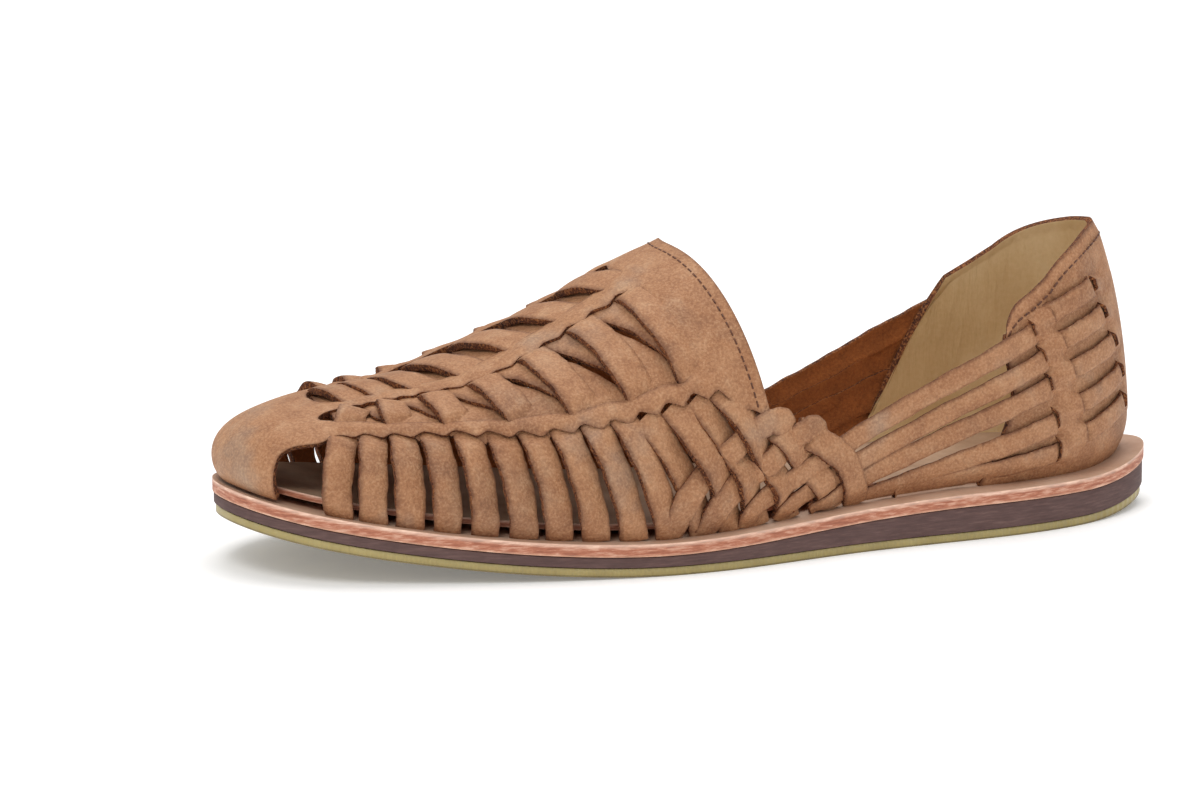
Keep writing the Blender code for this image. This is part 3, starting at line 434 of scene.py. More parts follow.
BAND_COLUMNS = {"a_low": 1, "a_top": 2, "b_low": 3, "b_top": 4}


def along_line(points, count, side):
    """Even stations on a smooth line through (along, girth) points, as t and v."""
    rows = np.array(points, float)
    place = np.linspace(0, 1, len(rows))
    table = np.column_stack([place, rows])
    at = np.linspace(0, 1, count + 1)
    along = through_table(at, table, 1)
    girth = np.minimum(through_table(at, table, 2), FEATHER)
    return along * LENGTH, side * girth


def slit_along(i):
    """Centre of slit i at band A: the pitch shrinks from toe to throat."""
    shrink = (SLIT_PITCH_THROAT - SLIT_PITCH_TOE) / (STRIP_COUNT - 2)
    return SLIT_START + SLIT_PITCH_TOE * i + shrink * i * (i - 1) / 2


def middle_of(band, t):
    return 0.5 * (band_edge(t, band + "_low") + band_edge(t, band + "_top"))


def wide_at_b(pair):
    return WIDE_AT_B_START + WIDE_AT_B_PITCH * pair


def falling_line(index):
    """Points of a falling strip of the waist, from its foot up."""
    row = FALLING_STRIPS[index]
    return [(row[6], FEATHER), (row[4], row[5]), (row[2], row[3]), (row[0], row[1])]


def rising_line(index):
    """Points of a rising strip of the waist, from its foot up."""
    if index < len(RISING_STRIPS):
        row = RISING_STRIPS[index]
        return [(row[0], FEATHER), (row[1], row[2]), (row[3], row[4]), (row[5], row[6])]
    row = REAR_STRAPS[index - len(RISING_STRIPS)]
    return [(row[0], FEATHER), (row[1], row[2]), (row[3], row[4])]


def crossing(line_a, line_b):
    """Share of the way along line a where it meets line b, or None."""
    samples = 24
    paths = [np.column_stack(along_line(line, samples, 1)) for line in (line_a, line_b)]
    for i in range(samples):
        a = paths[0][i]
        run_a = paths[0][i + 1] - a
        for k in range(samples):
            c = paths[1][k]
            run_c = paths[1][k + 1] - c
            system = np.column_stack([run_a, -run_c])
            if abs(np.linalg.det(system)) < 1e-12:
                continue
            here, there = np.linalg.solve(system, c - a)
            if 0 <= here <= 1 and 0 <= there <= 1:
                return (i + here) / samples
    return None


def weave_wave(place, index, is_falling):
    """Rise and dip of a strip: over and under in turn where it meets the others."""
    rising_count = len(RISING_STRIPS) + WOVEN_STRAPS
    if is_falling:
        own = falling_line(index)
        others = [rising_line(k) for k in range(rising_count)]
    else:
        own = rising_line(index)
        others = [falling_line(k) for k in range(len(FALLING_STRIPS))]
    marks = [(0.0, 0.0), (1.0, 0.0)]
    for k, other in enumerate(others):
        here = crossing(own, other)
        if here is not None and 0.03 < here < 0.97:
            odd = (index + k) % 2 == 1
            marks.append((here, 1.0 if odd == is_falling else -1.0))
    marks.sort()
    at = np.array([mark[0] for mark in marks])
    level = np.array([mark[1] for mark in marks])
    return WEAVE_WAVE * np.sin(np.interp(place, at, level) * np.pi / 2)


def last_tree():
    """The last as a fine mesh, to lay the ridge pieces on from above."""
    t = np.linspace(TOE_T, 0.07 * LENGTH, 130)
    vertices = []
    faces = []
    for side in (-1, 1):
        v = side * np.linspace(1.0, 0.0005, 60)
        grid = last_point(t[:, None], v[None, :])
        base = len(vertices)
        vertices.extend(tuple(p) for p in grid.reshape(-1, 3))
        n = len(v)
        for i in range(len(t) - 1):
            for j in range(n - 1):
                a = base + i * n + j
                faces.append((a, a + n, a + n + 1, a + 1))
    return BVHTree.FromPolygons(vertices, faces)


def plan_point(along, side):
    point = last_point(along * LENGTH, side * middle_of("b", along * LENGTH))
    return np.array([float(point[0]), float(point[1])])


def foot_line(count, inward):
    """Closed line along the last's feather edge, moved inward in plan."""
    half = count // 2
    share = np.linspace(0, 1, half + 1)
    t = TOE_T + (HEEL_T - TOE_T) * share
    lateral = last_point(t, -np.ones(half + 1))[:, :2]
    medial = last_point(t, np.ones(half + 1))[:, :2]
    ring = np.concatenate([lateral, medial[1:-1][::-1]])
    fine = resample(ring, 400)
    moved = inset(fine, np.full(len(fine), inward), 5)
    return resample(moved, count)


def resample(ring, count):
    closed = np.concatenate([ring, ring[:1]])
    arc = run_along(closed)
    at = np.arange(count) / count * arc[-1]
    return np.column_stack([np.interp(at, arc, closed[:, k]) for k in (0, 1)])


def outsole_top(x):
    return tread_z(x) + OUTSOLE_THICKNESS


def midsole_bottom(x):
    return outsole_top(x) + LAYER_GAP


def midsole_top(x):
    return midsole_bottom(x) + midsole_thickness(x)


def platform_bottom(x):
    return midsole_top(x) + LAYER_GAP


def insole_bottom(x):
    return platform_top(x) + LAYER_GAP + MARGIN_THICKNESS + LAYER_GAP


def insole_top(x):
    return insole_bottom(x) + INSOLE_THICKNESS


# Detail that only the finished shoe has

# The vamp's hide: how finely it is cut, and its windows
HIDE_STEP = 0.0011
HALF_GIRTH = 0.092
VAMP_END = 0.0100
CORNER_ROUND = 0.0028
EDGE_ROUND = 0.00035
WINDOW_REAR = -0.0235
WINDOW_REAR_SKEW = 0.0160
THROAT_EDGE = -0.0091
THROAT_EDGE_SKEW = 0.0240
TOE_HOLE = -0.1393
TOE_HOLE_ROUND = 0.0090
RIDGE_WINDOW_X = -0.1205
GIRTH_SIZE = 0.070
# Relief of the hide: its slow waves, edges pressed down, the throat folded and drooping
HIDE_WAVE = 0.00035
PRESSED_EDGE = 0.0003
FOLDED_EDGE = 0.0004
THROAT_DROOP = 0.0013
# Waves of the bands' cut edges, in girth share: how far the edge stands off its line, the
# height of a wave at the toe, what it gains toward the throat, and half a wave's metres
EDGE_WAVES = {
    # edge: off, height, gain, half
    "a_low": (0.006, 0.018, 0.004, 0.0038),
    "a_top": (-0.010, -0.004, -0.004, 0.0052),
    "b_low": (0.010, 0.010, 0.007, 0.0030),
}

# Strips
CROWN = 0.00045
STRIP_THICKNESS = 0.0023
FOOT_UNEVEN = 0.0014
SIDE_BOW = 0.001
SIDE_RISE = 0.0004
SIDE_SWELL = 0.0005
WIDE_SWELL = 0.0005
LOOP_SWELL = 0.0016
SHOWN_RISE = 0.0005
SHOWN_SWELL = 0.0004
SIDE_SWAY = 0.0003
WEB_SWAY = 0.0004
ARC_START = 0.0002
ARC_PROUD = 0.0008
RAYS_APART = 0.0007
SIDE_TILT = 0.0017
WEB_TILT = 0.0014
ARC_TILT = 0.0006
STRAIGHT_TILT = 0.0003
REAR_STRAP_WIDTH = 0.0063
INNER_STRAP_WIDTH = 0.0080
REAR_STRAP_LEATHER = 0.0013
HEEL_STRAP_LEATHER = 0.0012
ARC_OVER_WIDTH = 0.0098
STRAIGHT_WIDTH = 0.0128
NARROW_WEB_FULL = 0.0132
FOOT_DROP = SKIN_FOOT + 0.0002
STRAP_PAST_SLIT = 0.012
BROAD_INNER_STRAPS = (1, 2)
BROADER_BY = 0.0022
# How far before its slit a rear strap climbs onto the counter, and over what length
COUNTER_CLIMB_START = {-1: 0.014, 1: 0.030}
COUNTER_CLIMB = 0.012
# How far the pieces between the bridges reach under them
SHOWN_TUCK = 0.010
SHOWN_TUCK_GIRTH = 0.004
# Where a strip's end lies under other leather: the lift there, and for the ends that differ
# also where the bend starts and where it is done, as metres from the end
UNDER_BAND = -0.0004
UNDER_PLAIT = (-0.0020, 0.0050, 0.0)
INTO_SLIT = (COUNTER_LIFT + 0.0001, 0.0046, 0.0010)
INTO_BRIDGE = (COUNTER_LIFT + 0.0001, 0.0042, 0.0010)
LOOP_ENDS = (-0.0004, 0.0060, 0.0010)
# Steps along a strip and cells across it
SHORT_STATIONS = 30
LONG_STATIONS = 44
WEB_STATIONS = 24
RISING_STATIONS = 40
RIDGE_STATIONS = 34
STRAP_LOW_STATIONS = 26
STRIP_CELLS = 6

# Heel counter and the bands over its slits
CORNER_ALONG = 0.16
CORNER_DOWN = 0.24
COUNTER_ROUND = 0.0004
COUNTER_WAVE = 0.0003
TOPLINE_TURN = 0.0006
BRIDGE_LEATHER = 0.0010
BRIDGE_TOP = 0.675
BACK_BRIDGE_LOW = 0.950
BACK_BRIDGE_TOP = 0.565
BRIDGE_OFF = 0.0003
BRIDGE_FLOOR = 0.0014
BRIDGE_PAST = 0.004
BRIDGE_BITE = 0.005
BRIDGE_SWELL = 0.0017
BRIDGE_PRESSED = 0.0012
BRIDGE_END_DROP = 0.0024

# Sole layers, stitches and how a mesh is closed
END_ARC = 0.034
STITCH_LENGTH = 0.0017
STITCH_GAP = 0.0011
STITCH_WIDTH = 0.0006
STITCH_SINK = 0.00025
STITCH_LIFT = 0.0002
TOPLINE_STITCH_LIFT = 0.00045
THROAT_ROW_GIRTH = 0.74
THROAT_ROW_INSET = 0.0032
TOPLINE_ROW_DROP = 0.040
MERGE_DISTANCE = 0.00009
SHARP_ANGLE = 0.9
FOOT_MIDDLE_HEIGHT = 0.028

SIDE_TAGS = {-1: "lateral", 1: "medial"}

# The photo's camera: a long lens from the outer side, in front of the toe
PHOTO_LENS = 230.55
PHOTO_EYE = (-0.76140, -2.10691 + SIDE_SHIFT, 0.52294)
PHOTO_BACK = (-0.321377, -0.923236, 0.210622)
PHOTO_RIGHT = (0.944435, -0.328702, 0.0)
LAMPS = (
    # name, place, size, watts
    ("key_softbox", (-0.9, -0.9, 1.8), 0.9, 13.0),
    ("top_softbox", (0.2, 0.4, 1.9), 1.2, 17.0),
    ("fill_softbox", (1.6, -1.2, 0.9), 1.4, 2.5),
)


# Finishes


def hex_colour(text):
    """sRGB hex to linear, the only way a colour comes in."""
    parts = [int(text[i:i + 2], 16) / 255 for i in (0, 2, 4)]
    linear = [p / 12.92 if p <= 0.04045 else ((p + 0.055) / 1.055) ** 2.4 for p in parts]
    return (*linear, 1.0)


def feed(tree, node, **inputs):
    """Fill a node's inputs; each is a value, a hex colour or another node's output."""
    for name, value in inputs.items():
        key = int(name[1:]) if name[0] == "i" and name[1:].isdigit() else name.replace("_", " ")
        socket = node.inputs[key]
        if isinstance(value, bpy.types.NodeSocket):
            tree.links.new(value, socket)
        else:
            socket.default_value = hex_colour(value) if isinstance(value, str) else value


def add(tree, kind, settings=None, **inputs):
    """One node with its settings and its inputs."""
    node = tree.nodes.new(kind)
    for name, value in (settings or {}).items():
        setattr(node, name, value)
    feed(tree, node, **inputs)
    return node


def ramp(tree, factor, stops):
    """Colour ramp from (place, hex) stops."""
    node = tree.nodes.new("ShaderNodeValToRGB")
    band = node.color_ramp
    band.elements[0].position, band.elements[0].color = stops[0][0], hex_colour(stops[0][1])
    band.elements[1].position, band.elements[1].color = stops[-1][0], hex_colour(stops[-1][1])
    for place, text in stops[1:-1]:
        band.elements.new(place).color = hex_colour(text)
    tree.links.new(factor, node.inputs["Fac"])
    return node.outputs["Color"]


def mix(tree, factor, a, b):
    return add(tree, "ShaderNodeMix", {"data_type": "RGBA"}, i0=factor, i6=a, i7=b).outputs[2]


def read_mark(tree, name):
    """What the piece's points remember under this name."""
    return add(tree, "ShaderNodeAttribute", {"attribute_name": name}).outputs["Fac"]


def finish(name):
    """A new material: its tree, its shader and the place on the piece."""
    material = bpy.data.materials.new(name)
    material.use_nodes = True
    tree = material.node_tree
    shader = tree.nodes["Principled BSDF"]
    place = add(tree, "ShaderNodeTexCoord").outputs["Object"]
    return material, tree, shader, place


def noise(tree, place, millimetres, detail=2.0, roughness=0.5, distortion=0.0):
    """Noise whose features are about this many millimetres across."""
    return add(tree, "ShaderNodeTexNoise", Vector=place, Scale=1000.0 / millimetres,
               Detail=detail, Roughness=roughness, Distortion=distortion).outputs["Fac"]


def relief(tree, shader, *layers):
    """Bump layers, each a height socket and its depth in millimetres."""
    normal = None
    for height, depth in layers:
        bump = add(tree, "ShaderNodeBump", Height=height, Strength=1.0, Distance=depth / 1000.0)
        if normal is not None:
            tree.links.new(normal, bump.inputs["Normal"])
        normal = bump.outputs["Normal"]
    tree.links.new(normal, shader.inputs["Normal"])


def waxed_nubuck():
    """Cowhide, vegetable retanned, buffed on the grain side and hot waxed: soft light tan
    nap, greyer and darker in clouds where wax has sunk in, paler where it is stretched."""
    material, tree, shader, place = finish("waxed_nubuck")
    clouds = noise(tree, place, 26, 3, 0.55)
    patches = noise(tree, place, 7, 4, 0.6, 0.6)
    nap = noise(tree, place, 0.8, 3, 0.6)
    colour = ramp(tree, clouds, ((0.34, "8a6046"), (0.47, "a8714a"), (0.60, "b6835d"), (0.72, "a18a78")))
    tone = ramp(tree, patches, ((0.30, "7d5035"), (0.52, "a97750"), (0.72, "c39a74")))
    colour = mix(tree, 0.45, colour, tone)
    speckle = ramp(tree, nap, ((0.38, "64402b"), (0.52, "a87954"), (0.66, "d0a883")))
    colour = mix(tree, 0.26, colour, speckle)
    # painted shade and wear: near each rim the nap is mixed toward dark brown 5e3319, broken up by fibre noise;
    # partly frayed fibres, partly painted shade along the edges
    frayed = noise(tree, place, 1.5, 4, 0.65)
    rim = read_mark(tree, "rim")
    edge_wear_and_shade = add(tree, "ShaderNodeMath", {"operation": "MULTIPLY"}, i0=rim, i1=frayed).outputs[0]
    edge_wear_and_shade = add(tree, "ShaderNodeMapRange", i0=edge_wear_and_shade, From_Min=0.12, From_Max=0.50, To_Max=0.80).outputs[0]
    rough = add(tree, "ShaderNodeMapRange", i0=patches, From_Min=0.3, From_Max=0.7,
                To_Min=0.72, To_Max=0.56).outputs[0]
    feed(tree, shader, Base_Color=mix(tree, edge_wear_and_shade, colour, "5e3319"), Roughness=rough, IOR=1.46,
         Sheen_Weight=0.12, Sheen_Roughness=0.5, Sheen_Tint="e8c8a8")
    # the buffed fibres are finer than 0.1 mm; drawn at 0.45 mm
    # pores of cowhide are about 0.2 mm apart; drawn at 0.6 mm so that they show
    fibres = noise(tree, place, 0.45, 2, 0.7)
    pores = add(tree, "ShaderNodeTexVoronoi", Vector=place, Scale=1600.0).outputs["Distance"]
    creases = noise(tree, place, 3.2, 5, 0.62, 0.8)
    relief(tree, shader, (creases, 0.24), (pores, 0.08), (nap, 0.22), (fibres, 0.10))
    return material


def cut_edge():
    """The raw cut side of the hide: bare fibres, dyed dark by the wax, lighter orange where
    the knife left them torn. Gives every strip its dark fibrous outline."""
    material, tree, shader, place = finish("raw_cut_edge")
    fibre = noise(tree, place, 0.7, 4, 0.7)
    blotch = noise(tree, place, 4.5, 2, 0.5)
    colour = ramp(tree, fibre, ((0.40, "2a1109"), (0.50, "663317"), (0.60, "b87a48")))
    dark = ramp(tree, blotch, ((0.35, "331709"), (0.65, "6f3d20")))
    feed(tree, shader, Base_Color=mix(tree, 0.40, colour, dark), Roughness=0.92, IOR=1.45)
    relief(tree, shader, (fibre, 0.35))
    return material


def flesh_side():
    """The inside of the strips: split suede with a short rough nap, red brown."""
    material, tree, shader, place = finish("suede_flesh_side")
    nap = noise(tree, place, 0.9, 5, 0.72)
    clouds = noise(tree, place, 9, 3, 0.6)
    colour = ramp(tree, nap, ((0.30, "683717"), (0.50, "985829"), (0.72, "b8713a")))
    tone = ramp(tree, clouds, ((0.35, "84481f"), (0.65, "a8602c")))
    feed(tree, shader, Base_Color=mix(tree, 0.5, colour, tone), Roughness=0.95, IOR=1.45,
         Sheen_Weight=0.25, Sheen_Roughness=0.4, Sheen_Tint="d8a070")
    relief(tree, shader, (nap, 0.45))
    return material


def lining_leather():
    """Pigskin lining, chrome tanned, left cream: smooth, softly shining, with fine pulled
    wrinkles along its lower front."""
    material, tree, shader, place = finish("cream_lining_leather")
    clouds = noise(tree, place, 30, 2, 0.5)
    grain = noise(tree, place, 1.4, 4, 0.6)
    colour = ramp(tree, clouds, ((0.3, "c29f6c"), (0.55, "d6b684"), (0.75, "e0c496")))
    colour = mix(tree, 0.15, colour, ramp(tree, grain, ((0.35, "a88658"), (0.7, "dcc49c"))))
    feed(tree, shader, Base_Color=colour, Roughness=0.52, IOR=1.48)
    pulled = add(tree, "ShaderNodeMapping", Vector=place, Rotation=(0.0, 0.55, 0.0),
                 Scale=(1.0, 1.0, 0.22)).outputs["Vector"]
    wrinkles = noise(tree, pulled, 3.0, 3, 0.5, 0.3)
    relief(tree, shader, (wrinkles, 0.45), (grain, 0.05))
    return material


def natural_leather(name, pale, deep):
    """Vegetable tanned sole bend, undyed: pinkish beige grain on top. Its cut sides are
    burnished orange brown with darker compressed fibres and pale rims."""
    material, tree, shader, place = finish(name)
    clouds = noise(tree, place, 16, 3, 0.55)
    grain = noise(tree, place, 1.6, 4, 0.6)
    top = ramp(tree, clouds, ((0.32, deep), (0.68, pale)))
    top = mix(tree, 0.20, top, ramp(tree, grain, ((0.35, deep), (0.7, pale))))
    long_fibre = add(tree, "ShaderNodeMapping", Vector=place, Scale=(0.16, 0.16, 1.0)).outputs["Vector"]
    fibre = noise(tree, long_fibre, 0.8, 4, 0.65)
    side = ramp(tree, fibre, ((0.36, "7a412c"), (0.50, "bd7a5b"), (0.64, "f3cab0")))
    rim = ramp(tree, read_mark(tree, "layer"),
               ((0.0, "e6ba9e"), (0.20, "b06c51"), (0.62, "b06c51"), (0.90, "f8d8c2")))
    side = mix(tree, 0.55, side, rim)
    facing = add(tree, "ShaderNodeNewGeometry").outputs["Normal"]
    up = add(tree, "ShaderNodeSeparateXYZ", Vector=facing).outputs["Z"]
    flat = add(tree, "ShaderNodeMapRange", i0=up, From_Min=0.45, From_Max=0.8).outputs[0]
    feed(tree, shader, Base_Color=mix(tree, flat, side, top), Roughness=0.6, IOR=1.48)
    relief(tree, shader, (fibre, 0.10), (grain, 0.06))
    return material


def wedge_rubber():
    """Blown rubber sheet, cut and buffed on the sander: matt purple brown with fine
    horizontal scratches."""
    material, tree, shader, place = finish("buffed_wedge_rubber")
    streak = add(tree, "ShaderNodeMapping", Vector=place, Scale=(0.12, 0.12, 1.0)).outputs["Vector"]
    scratch = noise(tree, streak, 0.7, 4, 0.6)
    clouds = noise(tree, place, 12, 3, 0.6)
    colour = ramp(tree, scratch, ((0.3, "4a3330"), (0.55, "5e4440"), (0.75, "775a53")))
    colour = mix(tree, 0.35, colour, ramp(tree, clouds, ((0.35, "4a322f"), (0.7, "69504b"))))
    feed(tree, shader, Base_Color=colour, Roughness=0.75, IOR=1.52)
    relief(tree, shader, (scratch, 0.12))
    return material


def gum_rubber():
    """Natural crepe gum, moulded thin: yellow olive, a little see-through, satin, with a
    darker ribbed line low on its side and fine ribs across the tread."""
    material, tree, shader, place = finish("moulded_gum_rubber")
    clouds = noise(tree, place, 10, 3, 0.5)
    colour = ramp(tree, clouds, ((0.3, "8d7b49"), (0.55, "a39158"), (0.75, "b5a66f")))
    band = ramp(tree, read_mark(tree, "layer"),
                ((0.0, "5d5032"), (0.16, "5d5032"), (0.26, "a39158"), (0.85, "b5a66f"), (1.0, "89784a")))
    feed(tree, shader, Base_Color=mix(tree, 0.6, colour, band), Roughness=0.42, IOR=1.52,
         Subsurface_Weight=0.15, Subsurface_Radius=(0.004, 0.003, 0.001), Subsurface_Scale=0.5)
    ribs = add(tree, "ShaderNodeTexWave", {"wave_type": "BANDS", "bands_direction": "X"},
               Vector=place, Scale=130.0, Distortion=0.4).outputs["Fac"]
    relief(tree, shader, (ribs, 0.25))
    return material


def waxed_thread():
    """Waxed polyester sewing thread, 0.6 mm, dark brown with a dull shine."""
    material, tree, shader, place = finish("waxed_thread")
    twist = noise(tree, place, 0.5, 2, 0.5)
    feed(tree, shader, Base_Color=ramp(tree, twist, ((0.35, "43210f"), (0.65, "6b3c1f"))), Roughness=0.5)
    relief(tree, shader, (twist, 0.08))
    return material


def studio_paper():
    """Seamless white paper, matt."""
    material, tree, shader, place = finish("studio_paper")
    tooth = noise(tree, place, 3, 2, 0.5)
    feed(tree, shader, Base_Color=ramp(tree, tooth, ((0.3, "f8f8f8"), (0.7, "fbfbfb"))), Roughness=0.9,
         Emission_Color="ffffff", Emission_Strength=0.16)
    return material


NUBUCK = waxed_nubuck()
RAW_EDGE = cut_edge()
SUEDE = flesh_side()
LINING = lining_leather()
PLATFORM_HIDE = natural_leather("natural_sole_leather", "cfae96", "b58d73")
FOOTBED_HIDE = natural_leather("footbed_leather", "b89a80", "98785f")
WEDGE_RUBBER = wedge_rubber()
GUM_RUBBER = gum_rubber()
THREAD = waxed_thread()


# The maker's hand: cutting, lasting, skiving


def deselect():
    if bpy.context.object and bpy.context.object.mode != "OBJECT":
        bpy.ops.object.mode_set(mode="OBJECT")
    bpy.ops.object.select_all(action="DESELECT")


def make_active(piece):
    deselect()
    piece.select_set(True)
    bpy.context.view_layer.objects.active = piece


@contextmanager
def edit_mode(action=None):
    """Open the active mesh, with all of it selected or not where an action is given."""
    bpy.ops.object.mode_set(mode="EDIT")
    if action:
        bpy.ops.mesh.select_all(action=action)
    yield
    bpy.ops.object.mode_set(mode="OBJECT")


def read_array(items, name, width=3, kind=float):
    values = np.empty(len(items) * width, kind)
    items.foreach_get(name, values)
    return values.reshape(-1, width)


def cut_sheet(name, columns, rows):
    """A flat sheet with this many cells; gives the piece and each point's shares."""
    deselect()
    bpy.ops.mesh.primitive_grid_add(x_subdivisions=columns, y_subdivisions=rows, size=1.0)
    piece = bpy.context.object
    piece.name = name
    piece.data.name = name
    return piece, points_of(piece)[:, :2] + 0.5


def points_of(piece):
    return read_array(piece.data.vertices, "co")


def place_points(piece, points):
    piece.data.vertices.foreach_set("co", np.ascontiguousarray(points, float).ravel())
    piece.data.update()


def mark_points(piece, name, values):
    """Remember a number at each point, for a finish to read."""
    mark = piece.data.attributes.new(name, "FLOAT", "POINT")
    mark.data.foreach_set("value", np.asarray(values, float))


def cut_away(piece, keep):
    """Delete the faces whose middle is not kept. keep takes an array of middles."""
    make_active(piece)
    gone = ~keep(read_array(piece.data.polygons, "center"))
    with edit_mode():
        bpy.ops.mesh.select_mode(type="FACE")
        bpy.ops.mesh.select_all(action="DESELECT")
    piece.data.polygons.foreach_set("select", gone)
    with edit_mode():
        bpy.ops.mesh.delete(type="FACE")


def rim_points(piece):
    """Which points lie on an open edge."""
    used = {}
    for face in piece.data.polygons:
        for key in face.edge_keys:
            used[key] = used.get(key, 0) + 1
    rim = np.zeros(len(piece.data.vertices), bool)
    for key, count in used.items():
        if count == 1:
            rim[list(key)] = True
    return rim


def face_outward(piece, direction):
    """Merge doubles, make the faces agree and point them along direction(middles)."""
    make_active(piece)
    with edit_mode("SELECT"):
        bpy.ops.mesh.remove_doubles(threshold=MERGE_DISTANCE)
        bpy.ops.mesh.normals_make_consistent(inside=False)
    middles = read_array(piece.data.polygons, "center")
    normals = read_array(piece.data.polygons, "normal")
    if np.sum(normals * direction(middles)) < 0:
        with edit_mode("SELECT"):
            bpy.ops.mesh.flip_normals()


def away_from_foot(middles):
    """Roughly outward from the middle of the foot."""
    centre = np.column_stack([np.clip(middles[:, 0], FAN_TOE_X, FAN_HEEL_X),
                              np.full(len(middles), SIDE_SHIFT), np.full(len(middles), FOOT_MIDDLE_HEIGHT)])
    return middles - centre


def round_edges(piece, width, segments, smooth_angle):
    """Round the sharp edges of the active piece and shade the rest smooth."""
    soft = piece.modifiers.new("soft_edges", "BEVEL")
    soft.width = width
    soft.segments = segments
    soft.limit_method = "ANGLE"
    soft.angle_limit = SHARP_ANGLE
    bpy.ops.object.modifier_apply(modifier="soft_edges")
    bpy.ops.object.shade_smooth_by_angle(angle=smooth_angle)


def make_leather(piece, points, rim_wear_and_shade, thickness, inside=SUEDE, round_by=EDGE_ROUND):
    """Turn a cut sheet into leather: its shape on the last, how strongly each point near a rim is darkened for
    wear and for painted shade, its wall with softened edges, and its three finishes."""
    place_points(piece, points)
    # the rim mark darkens the nubuck near edges: edge wear and painted shade
    mark_points(piece, "rim", rim_wear_and_shade)
    face_outward(piece, away_from_foot)
    for material in (NUBUCK, inside, RAW_EDGE):
        piece.data.materials.append(material)
    make_active(piece)
    wall = piece.modifiers.new("wall", "SOLIDIFY")
    wall.thickness = thickness
    wall.offset = -1.0
    wall.use_even_offset = False
    wall.material_offset = 1
    wall.material_offset_rim = 2
    bpy.ops.object.modifier_apply(modifier="wall")
    round_edges(piece, round_by, 2, 0.75)
    wear(piece, "hide_tan", "upper")


def wear(piece, slot, *nodes):
    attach(piece, "root")
    if nodes:
        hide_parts(*nodes)


# Strips


def strip(name, t, v, width, lift, thickness=STRIP_THICKNESS, crown=CROWN, foot_end=False,
          sway=0.0, tilt=0.0, seed=0):
    """A strip laid along stations (t, v) on the last, with a crowned outer face."""
    count = len(t)
    piece, share = cut_sheet(name, count - 1, STRIP_CELLS)
    at = share[:, 0] * (count - 1)
    station = np.arange(count)
    side_share = (share[:, 1] - 0.5) * 2
    _, _, stretch_t, stretch_v = last_frame(t, v)
    run_t = np.gradient(t) * stretch_t
    run_v = np.gradient(v) * stretch_v
    size = np.hypot(run_t, run_v)
    half = np.broadcast_to(width, t.shape) / 2
    half = half * (1 + 0.035 * np.sin(station * 0.55 + seed * 1.7) + 0.02 * np.sin(station * 1.3 + seed))
    shift_t = -run_v / size * half / stretch_t
    shift_v = run_t / size * half / stretch_v
    tt = np.interp(at, station, t) + side_share * np.interp(at, station, shift_t)
    vv = np.interp(at, station, v) + side_share * np.interp(at, station, shift_v)
    sign = np.sign(np.interp(at, station, np.where(v == 0, 1, v)))
    vv = sign * np.clip(sign * vv, 0.0005, 1.0)
    rise = np.interp(at, station, np.broadcast_to(lift, t.shape))
    rise = rise + LEATHER - crown * side_share ** 2 + sway * side_share * np.sin(np.pi * share[:, 0])
    toe_side = -np.sign(np.interp(at, station, shift_t)) * side_share
    rise = rise + tilt * toe_side * np.clip(np.minimum(share[:, 0], 1 - share[:, 0]) / 0.2, 0, 1)
    points = skin(tt, vv, rise)
    if foot_end:
        # the end runs down onto the platform
        last = np.clip(1 - share[:, 0] * (count - 1) / 1.5, 0, 1)
        points[:, 2] -= last * FOOT_DROP
    # darkening of both long edges, one side more than the other: edge wear and painted shade along the strip
    rims = np.clip((toe_side - 0.50) / 0.50, 0, 1) + 0.7 * np.clip((-toe_side - 0.80) / 0.20, 0, 1)
    make_leather(piece, points, rims, thickness)


def dive(t, v, lift, first, last, level=UNDER_BAND, reach=0.0062, under=0.0024):
    """Bend chosen ends of a strip to this lift, so that they pass under leather."""
    arc = run_along(last_point(t, v))
    down = np.zeros(len(arc))
    if first:
        down = np.maximum(down, np.clip((reach - arc) / (reach - under), 0, 1))
    if last:
        down = np.maximum(down, np.clip((reach - (arc[-1] - arc)) / (reach - under), 0, 1))
    return lift + (np.minimum(level, lift) - lift) * ease(down)


def uneven(index, side, salt=0.0):
    """A small repeatable irregularity, -1 to 1."""
    return float(np.sin(index * 12.9898 + side * 4.1 + salt * 7.7) * np.cos(index * 4.37 + salt))


def side_strips():
    """Strips that climb from the sole to the first band, and the waist's falling strips."""
    for side, tag in SIDE_TAGS.items():
        for i in range(SIDE_STRIPS + len(FALLING_STRIPS)):
            if i < SIDE_STRIPS:
                slit = slit_along(i)
                girth = float(middle_of("a", slit * LENGTH))
                foot = FOOT_START + FOOT_PITCH * i + FOOT_UNEVEN * uneven(i, side)
                middle = (0.5 * (foot + slit) + SIDE_BOW, 0.5 * (FEATHER + girth))
                points = [(foot, FEATHER), middle, (slit, girth)]
                count = SHORT_STATIONS
                lift = SIDE_LIFT + SIDE_RISE + SIDE_SWELL * np.sin(np.pi * shares(count))
                width = STRIP_WIDTH * (1.11 + 0.05 * uneven(i, side, 1.0))
            else:
                points = falling_line(i - SIDE_STRIPS)
                count = LONG_STATIONS
                lift = SIDE_LIFT + weave_wave(shares(count), i - SIDE_STRIPS, True)
                width = WEAVE_WIDTH
            t, v = along_line(points, count, side)
            plaited = i >= STRIP_COUNT
            lift = dive(t, v, lift, False, True, *(UNDER_PLAIT if plaited else ()))
            strip("side_strip_%s_%02d" % (tag, i + 1), t, v, width, lift, foot_end=True,
                  sway=SIDE_SWAY * uneven(i, side, 2.0), tilt=SIDE_TILT * (0.4 if plaited else 1.0), seed=i)


